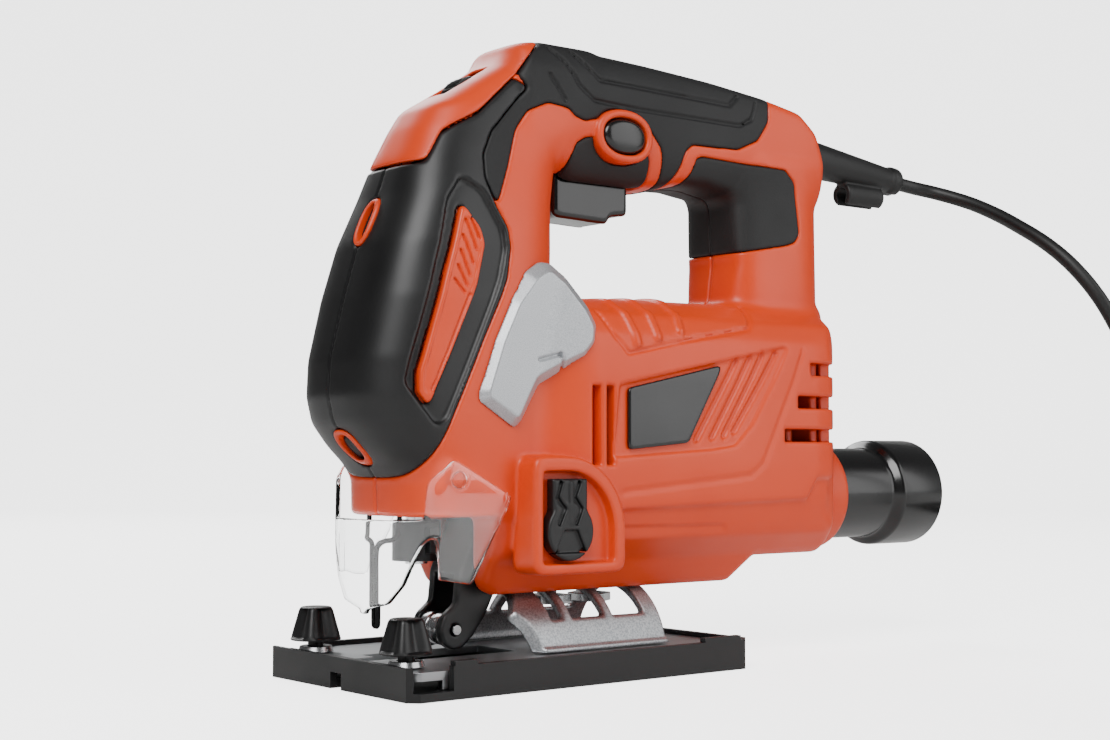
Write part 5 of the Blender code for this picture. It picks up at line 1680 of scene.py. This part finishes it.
@dataclass
class Rear:
    """The dust adapter, the strain relief with its key clip, and the housing screws."""

    port_height: float = 55.7
    relief_start: tuple[float, float, float] = (132.2, 0.0, 182.7)
    relief_end: tuple[float, float, float] = (187.5, 0.0, 177.8)
    thick_radius: float = 7.3
    taper: float = 2.6
    bead: tuple[float, float] = (5.6, 4.5)
    root_radius: float = 5.9
    clip_height: float = 170.4
    clip_span: tuple[float, float] = (157, 177)
    clip_radius: float = 4.6
    key_radius: float = 2.5
    key_mouth: float = 1.8

    def relief(self, x: Array, y: Array, z: Array) -> Array:
        """The strain relief: a cone from 7.3 to 4.7 mm, a collar and end bead, and a C-shaped clip.

        Args:
            x, y, z: where the form is read, in millimetres.

        Returns:
            The form there.
        """
        start, end = np.array(self.relief_start), np.array(self.relief_end)
        along = end - start
        length = float(np.linalg.norm(along))
        along = along / length
        t = (x - start[0]) * along[0] + (z - start[2]) * along[2]
        off = np.hypot(y, -(x - start[0]) * along[2] + (z - start[2]) * along[0])
        radius = self.thick_radius - self.taper * np.clip(t / length, 0, 1)
        cone = both(off - radius, slab(t, 0, length), 1.4)
        bead = both(off - self.bead[0], slab(t, length - self.bead[1], length), 1.4)
        form = either(cone, bead, 1.2)
        root = both(np.hypot(y, z - 183) - self.root_radius, slab(x, 117.5, 134.5), 0.5)
        form = either(form, root, 0.6)
        ring = np.hypot(y, z - self.clip_height)
        clip = both(ring - self.clip_radius, slab(x, *self.clip_span), 1.0)
        form = either(form, clip, 1.2)
        form = cut(form, both(ring - self.key_radius, slab(x, 150, 190), 0.3), 0.5)
        mouth = block(x, y, z, (150, -self.key_mouth, 160), (190, self.key_mouth, 170.2))
        return cut(form, mouth, 0.6)

    def build(self, bench: Bench) -> None:
        """Makes the rear pieces.

        Args:
            bench: what takes the pieces.
        """
        wall = rounded_profile(ADAPTER_PROFILE, 1.2, 6)
        bench.piece("hose_adapter", turned(wall[::-1], (0, 0, self.port_height), 0, 128),
                    GLOSS_BLACK, "adapter", ["vacuum_adapter"], sharp=40)
        bench.moulding("cable_sleeve", self.relief, (117, -8, 164), (189, 8, 191), 0.5,
                       CABLE_RUBBER, "housing", ["strain_relief"])
        for number in range(1, 5):
            bench.from_node(f"housing_screw_{number}", GROUND_STEEL, "housing", 0.3)


@dataclass
class Lead:
    """The mains lead: a free cord from the strain relief to the floor, a coil and a plug."""

    diameter: float = 0.0054
    route: Sequence[tuple[float, float, float]] = (
        (0.1875, 0.0000, 0.1778), (0.1925, -0.0003, 0.1773), (0.1985, -0.0020, 0.1763),
        (0.2045, -0.0062, 0.1747), (0.2090, -0.0138, 0.1718), (0.2115, -0.0222, 0.1682),
        (0.2128, -0.0320, 0.1632), (0.2132, -0.0410, 0.1580), (0.2138, -0.0500, 0.1523),
        (0.2148, -0.0580, 0.1460), (0.2164, -0.0640, 0.1397), (0.2190, -0.0690, 0.1325),
        (0.2228, -0.0730, 0.1237), (0.2285, -0.0782, 0.1085), (0.2345, -0.0850, 0.0900),
        (0.2405, -0.0925, 0.0700), (0.2465, -0.0993, 0.0500), (0.2530, -0.1048, 0.0310),
        (0.2610, -0.1083, 0.0158), (0.2700, -0.1099, 0.0068), (0.2785, -0.1102, 0.0036),
        (0.2870, -0.1102, 0.0031),
    )
    coil_turns: int = 3
    coil_outer: float = 0.0402
    coil_centre: tuple[float, float] = (0.310, -0.070)
    coil_end: float = -30.0
    floor_gap: float = 0.0003
    plug_middle: float = 0.0076
    steps_per_turn: int = 42
    neck_run: float = 0.023
    plug_length: float = 0.060
    plug_half: Points = ((3.6, 14), (4.6, 16), (11, 21), (15, 27), (16, 39), (14, 41))

    def coil(self) -> Array:
        """The stored length: inward on the floor, up at the smallest radius, then outward on top.

        The radius changes by one diameter in each turn, and the angle rises steadily from the
        coil's front, so the coil runs anticlockwise seen from above.

        Returns:
            The points of the coil, in metres.
        """
        climb = (self.coil_end + 90) / 360
        turns = np.arange(0, 2 * self.coil_turns + climb, 1 / self.steps_per_turn)
        turns = np.append(turns[:-1], 2 * self.coil_turns + climb)
        inner = self.coil_outer - self.coil_turns * self.diameter
        inward = self.coil_outer - self.diameter * turns
        outward = self.coil_outer - self.diameter * (turns[-1] - turns)
        radius = np.maximum(inner, np.maximum(inward, outward))
        lift = np.clip((turns - self.coil_turns) / climb, 0, 1)
        low = self.floor_gap + self.diameter / 2
        height = low + self.diameter * (3 * lift ** 2 - 2 * lift ** 3)
        angle = 2 * np.pi * turns - np.pi / 2
        x = self.coil_centre[0] + radius * np.cos(angle)
        y = self.coil_centre[1] + radius * np.sin(angle)
        return np.stack([x, y, height], 1)

    def plug_frame(self) -> tuple[Array, Array, Array]:
        """The plug's neck, the direction it points in and the direction across it.

        Returns:
            The three, in metres.
        """
        angle = math.radians(self.coil_end)
        out = np.array([math.cos(angle), math.sin(angle), 0])
        along = np.array([-out[1], out[0], 0])
        neck = np.array([*self.coil_centre, self.plug_middle])
        return neck + out * self.coil_outer + along * self.neck_run, along, out

    def line(self) -> Array:
        """The whole centreline: the given route, the coil, and the run to the plug's neck.

        Returns:
            The points of the line, in metres.
        """
        coil = self.coil()
        neck, along, _ = self.plug_frame()
        run = coil[-1] + (neck + along * MM - coil[-1]) * np.array(
            [[0.35, 0.35, 0], [0.7, 0.7, 0.1], [1, 1, 1]])
        return np.concatenate([smooth_line(self.route, 4), coil, run])

    def plug_form(self, x: Array, y: Array, z: Array) -> Array:
        """The two-pin plug: a flat body that widens from a ribbed neck, with two round pins.

        Args:
            x, y, z: where the form is read, in millimetres.

        Returns:
            The form there.
        """
        neck, along, out = self.plug_frame()
        dx, dy = x - neck[0] / MM, y - neck[1] / MM
        u, v = dx * along[0] + dy * along[1], dx * out[0] + dy * out[1]
        middle = np.hypot(v, z - self.plug_middle / MM)
        body = both(self.plug_plan(u, v), slab(z, 0.3, 15.0), 3.0)
        sleeve = both(middle - 4.4, slab(u, 0, 20), 1.2)
        for place in (4, 8, 12):
            sleeve = cut(sleeve, both(slab(u, place - 0.7, place + 0.7), 3.4 - middle, 0.4), 0.4)
        form = either(body, sleeve, 1.5)
        pins = both(np.hypot(np.abs(v) - 9.5, z - self.plug_middle / MM) - 2.3,
                    slab(u, 38, self.plug_length / MM), 1.2)
        return either(form, pins, 0.3)

    def build(self, bench: Bench) -> None:
        """Args:
            bench: what takes the pieces.
        """
        self.plug_plan = Outline(swapped(mirrored(self.plug_half)), 1.0)
        neck, along, _ = self.plug_frame()
        tip = neck + along * self.plug_length
        low = np.minimum(neck, tip)[:2] / MM - 16
        high = np.maximum(neck, tip)[:2] / MM + 16
        plug = bench.moulding("mains_plug", self.plug_form, (*low, 0), (*high, 16), 0.6,
                              CABLE_RUBBER, "housing", ["plug"])
        line = self.line()
        curve = bpy.data.curves.new("mains_lead", "CURVE")
        curve.dimensions = "3D"
        curve.bevel_depth = self.diameter / 2
        curve.bevel_resolution = 4
        curve.use_fill_caps = True
        spline = curve.splines.new("POLY")
        spline.points.add(len(line) - 1)
        spline.points.foreach_set("co", np.column_stack([line, np.ones(len(line))]).ravel())
        spline.use_smooth = True
        cord = bpy.data.objects.new("mains_lead", curve)
        bpy.context.scene.collection.objects.link(cord)
        bench.dress(cord, CABLE_RUBBER, "housing", ["cord", "cord_coil"])


@dataclass
class DriveTrain:
    """The parts inside, which keep the frame's own shapes with their edges worn round."""

    parts: dict[str, tuple[Finish, str, str]] = field(default_factory=lambda: {
        "switch_module": (GLOSS_BLACK, "housing", "black_plastic"),
        "motor_stator": (PRESSED_STEEL, "housing", "bright_steel"),
        "armature_core": (COPPER, "armature", "copper"),
        "commutator": (COPPER, "armature", "copper"),
        "front_bearing": (GROUND_STEEL, "housing", "bright_steel"),
        "rear_bearing": (GROUND_STEEL, "housing", "bright_steel"),
        "armature_shaft": (GROUND_STEEL, "armature", "bright_steel"),
        "cooling_fan": (NYLON, "armature", "black_plastic"),
        "brush_left": (BLACK_STEEL, "housing", "blackened_steel"),
        "brush_right": (BLACK_STEEL, "housing", "blackened_steel"),
        "gearbox_plate": (DIE_CAST, "housing", "die_cast"),
        "gear_axle": (GROUND_STEEL, "housing", "bright_steel"),
        "drive_gear": (GROUND_STEEL, "gear", "bright_steel"),
        "plunger": (GROUND_STEEL, "plunger", "bright_steel"),
        "lower_bush": (GROUND_STEEL, "housing", "bright_steel"),
        "upper_bush": (GROUND_STEEL, "housing", "bright_steel"),
    })

    def build(self, bench: Bench) -> None:
        """Finishes each part."""
        homes = {n: b for b, nodes in frame["record"]["behaviour"]["bodies"].items() for n in nodes}
        for node, (finish, body, slot) in self.parts.items():
            bench.from_node(node, finish, homes.get(node, body), 0.2)


# ------------------------------------------------------------------ studio


@dataclass
class Studio:
    """A pale sweep, three soft lights and the camera."""

    place: tuple[float, float, float] = (-0.34381, -0.45197, 0.07056)
    turn: float = -38.5365
    lift: float = 2.7588
    lens: float = 56.395
    sensor: float = 36.0
    aim: tuple[float, float, float] = (0.04, 0.0, 0.1)
    ambient: float = 0.15
    sheet_rise: float = 0.9
    sheet_bend: tuple[float, float] = (1.6, 3.2)
    # name, place, size of its side in metres, watts
    lamps: Sequence[tuple[str, tuple[float, float, float], float, float]] = (
        ("key_light", (-0.9, -0.75, 1.15), 0.9, 25),
        ("fill_light", (0.75, -1.1, 0.6), 1.2, 10),
        ("rim_light", (0.3, 1.2, 1.1), 0.8, 13),
    )

    def floor(self) -> None:
        """A sheet that runs level under the tool and curves up far behind it, by a cosine step."""
        u = np.linspace(-2.5, 2.5, 41)
        v = np.linspace(-2.5, 3.5, 61)
        grid_u, grid_v = np.meshgrid(u, v, indexing="ij")
        away = math.radians(-self.turn)
        x = grid_u * math.cos(away) + grid_v * math.sin(away)
        y = -grid_u * math.sin(away) + grid_v * math.cos(away)
        start, end = self.sheet_bend
        rise = np.clip((grid_v - start) / (end - start), 0, 1)
        z = self.sheet_rise * (1 - np.cos(np.pi * rise)) - 0.0002
        points = np.stack([x, y, z], -1).reshape(-1, 3)
        i, j = np.meshgrid(np.arange(u.size - 1), np.arange(v.size - 1), indexing="ij")
        first = i * v.size + j
        faces = np.stack([first, first + v.size, first + v.size + 1, first + 1], -1)
        mesh = bpy.data.meshes.new("paper_sweep")
        mesh.from_pydata(points.tolist(), [], faces.reshape(-1, 4).tolist())
        mesh.shade_smooth()
        mesh.materials.append(PAPER.material())
        sweep = bpy.data.objects.new("paper_sweep", mesh)
        bpy.context.scene.collection.objects.link(sweep)

    def light(self, name: str, place: Sequence[float], size: float, watts: float) -> None:
        """One square soft box aimed at the middle of the tool.

        Args:
            name: the piece's name.
            place: where it stands.
            size: the length of its edge.
            watts: how much light it gives.
        """
        lamp = bpy.data.lights.new(name, "AREA")
        lamp.shape = "SQUARE"
        lamp.size = size
        lamp.energy = watts
        made = bpy.data.objects.new(name, lamp)
        aim = Vector(self.aim) - Vector(place)
        made.matrix_world = (Matrix.Translation(place)
                             @ aim.to_track_quat("-Z", "Y").to_matrix().to_4x4())
        bpy.context.scene.collection.objects.link(made)

    def build(self) -> None:
        """Sets the camera, the floor, the lights and the pale surroundings."""
        scene = bpy.context.scene
        lens = bpy.data.cameras.new("camera")
        lens.lens = self.lens
        lens.sensor_width = self.sensor
        camera = bpy.data.objects.new("camera", lens)
        camera.matrix_world = (Matrix.Translation(self.place)
                               @ Matrix.Rotation(math.radians(self.turn), 4, "Z")
                               @ Matrix.Rotation(math.radians(90 + self.lift), 4, "X"))
        scene.collection.objects.link(camera)
        scene.camera = camera
        self.floor()
        for lamp in self.lamps:
            self.light(*lamp)
        world = bpy.data.worlds.new("studio")
        world.use_nodes = True
        sky = world.node_tree.nodes["Background"]
        sky.inputs[0].default_value = linear("#FFFFFF")
        sky.inputs[1].default_value = self.ambient
        scene.world = world


def main() -> None:
    """Builds the studio, then the tool from its lead and shell to its smallest parts."""
    logging.basicConfig(level=logging.INFO, format="%(message)s")
    bench = Bench()
    Studio().build()
    Lead().build(bench)
    form = ToolForm()
    housing = Housing(form)
    housing.build(bench)
    Covers(housing).build(bench)
    Trim(form).build(bench)
    Controls().build(bench)
    Nose().build(bench)
    Sole().build(bench)
    Rear().build(bench)
    DriveTrain().build(bench)
    log.info("%d triangles before modifiers", bench.triangles)


if __name__ == "__main__":
    main()
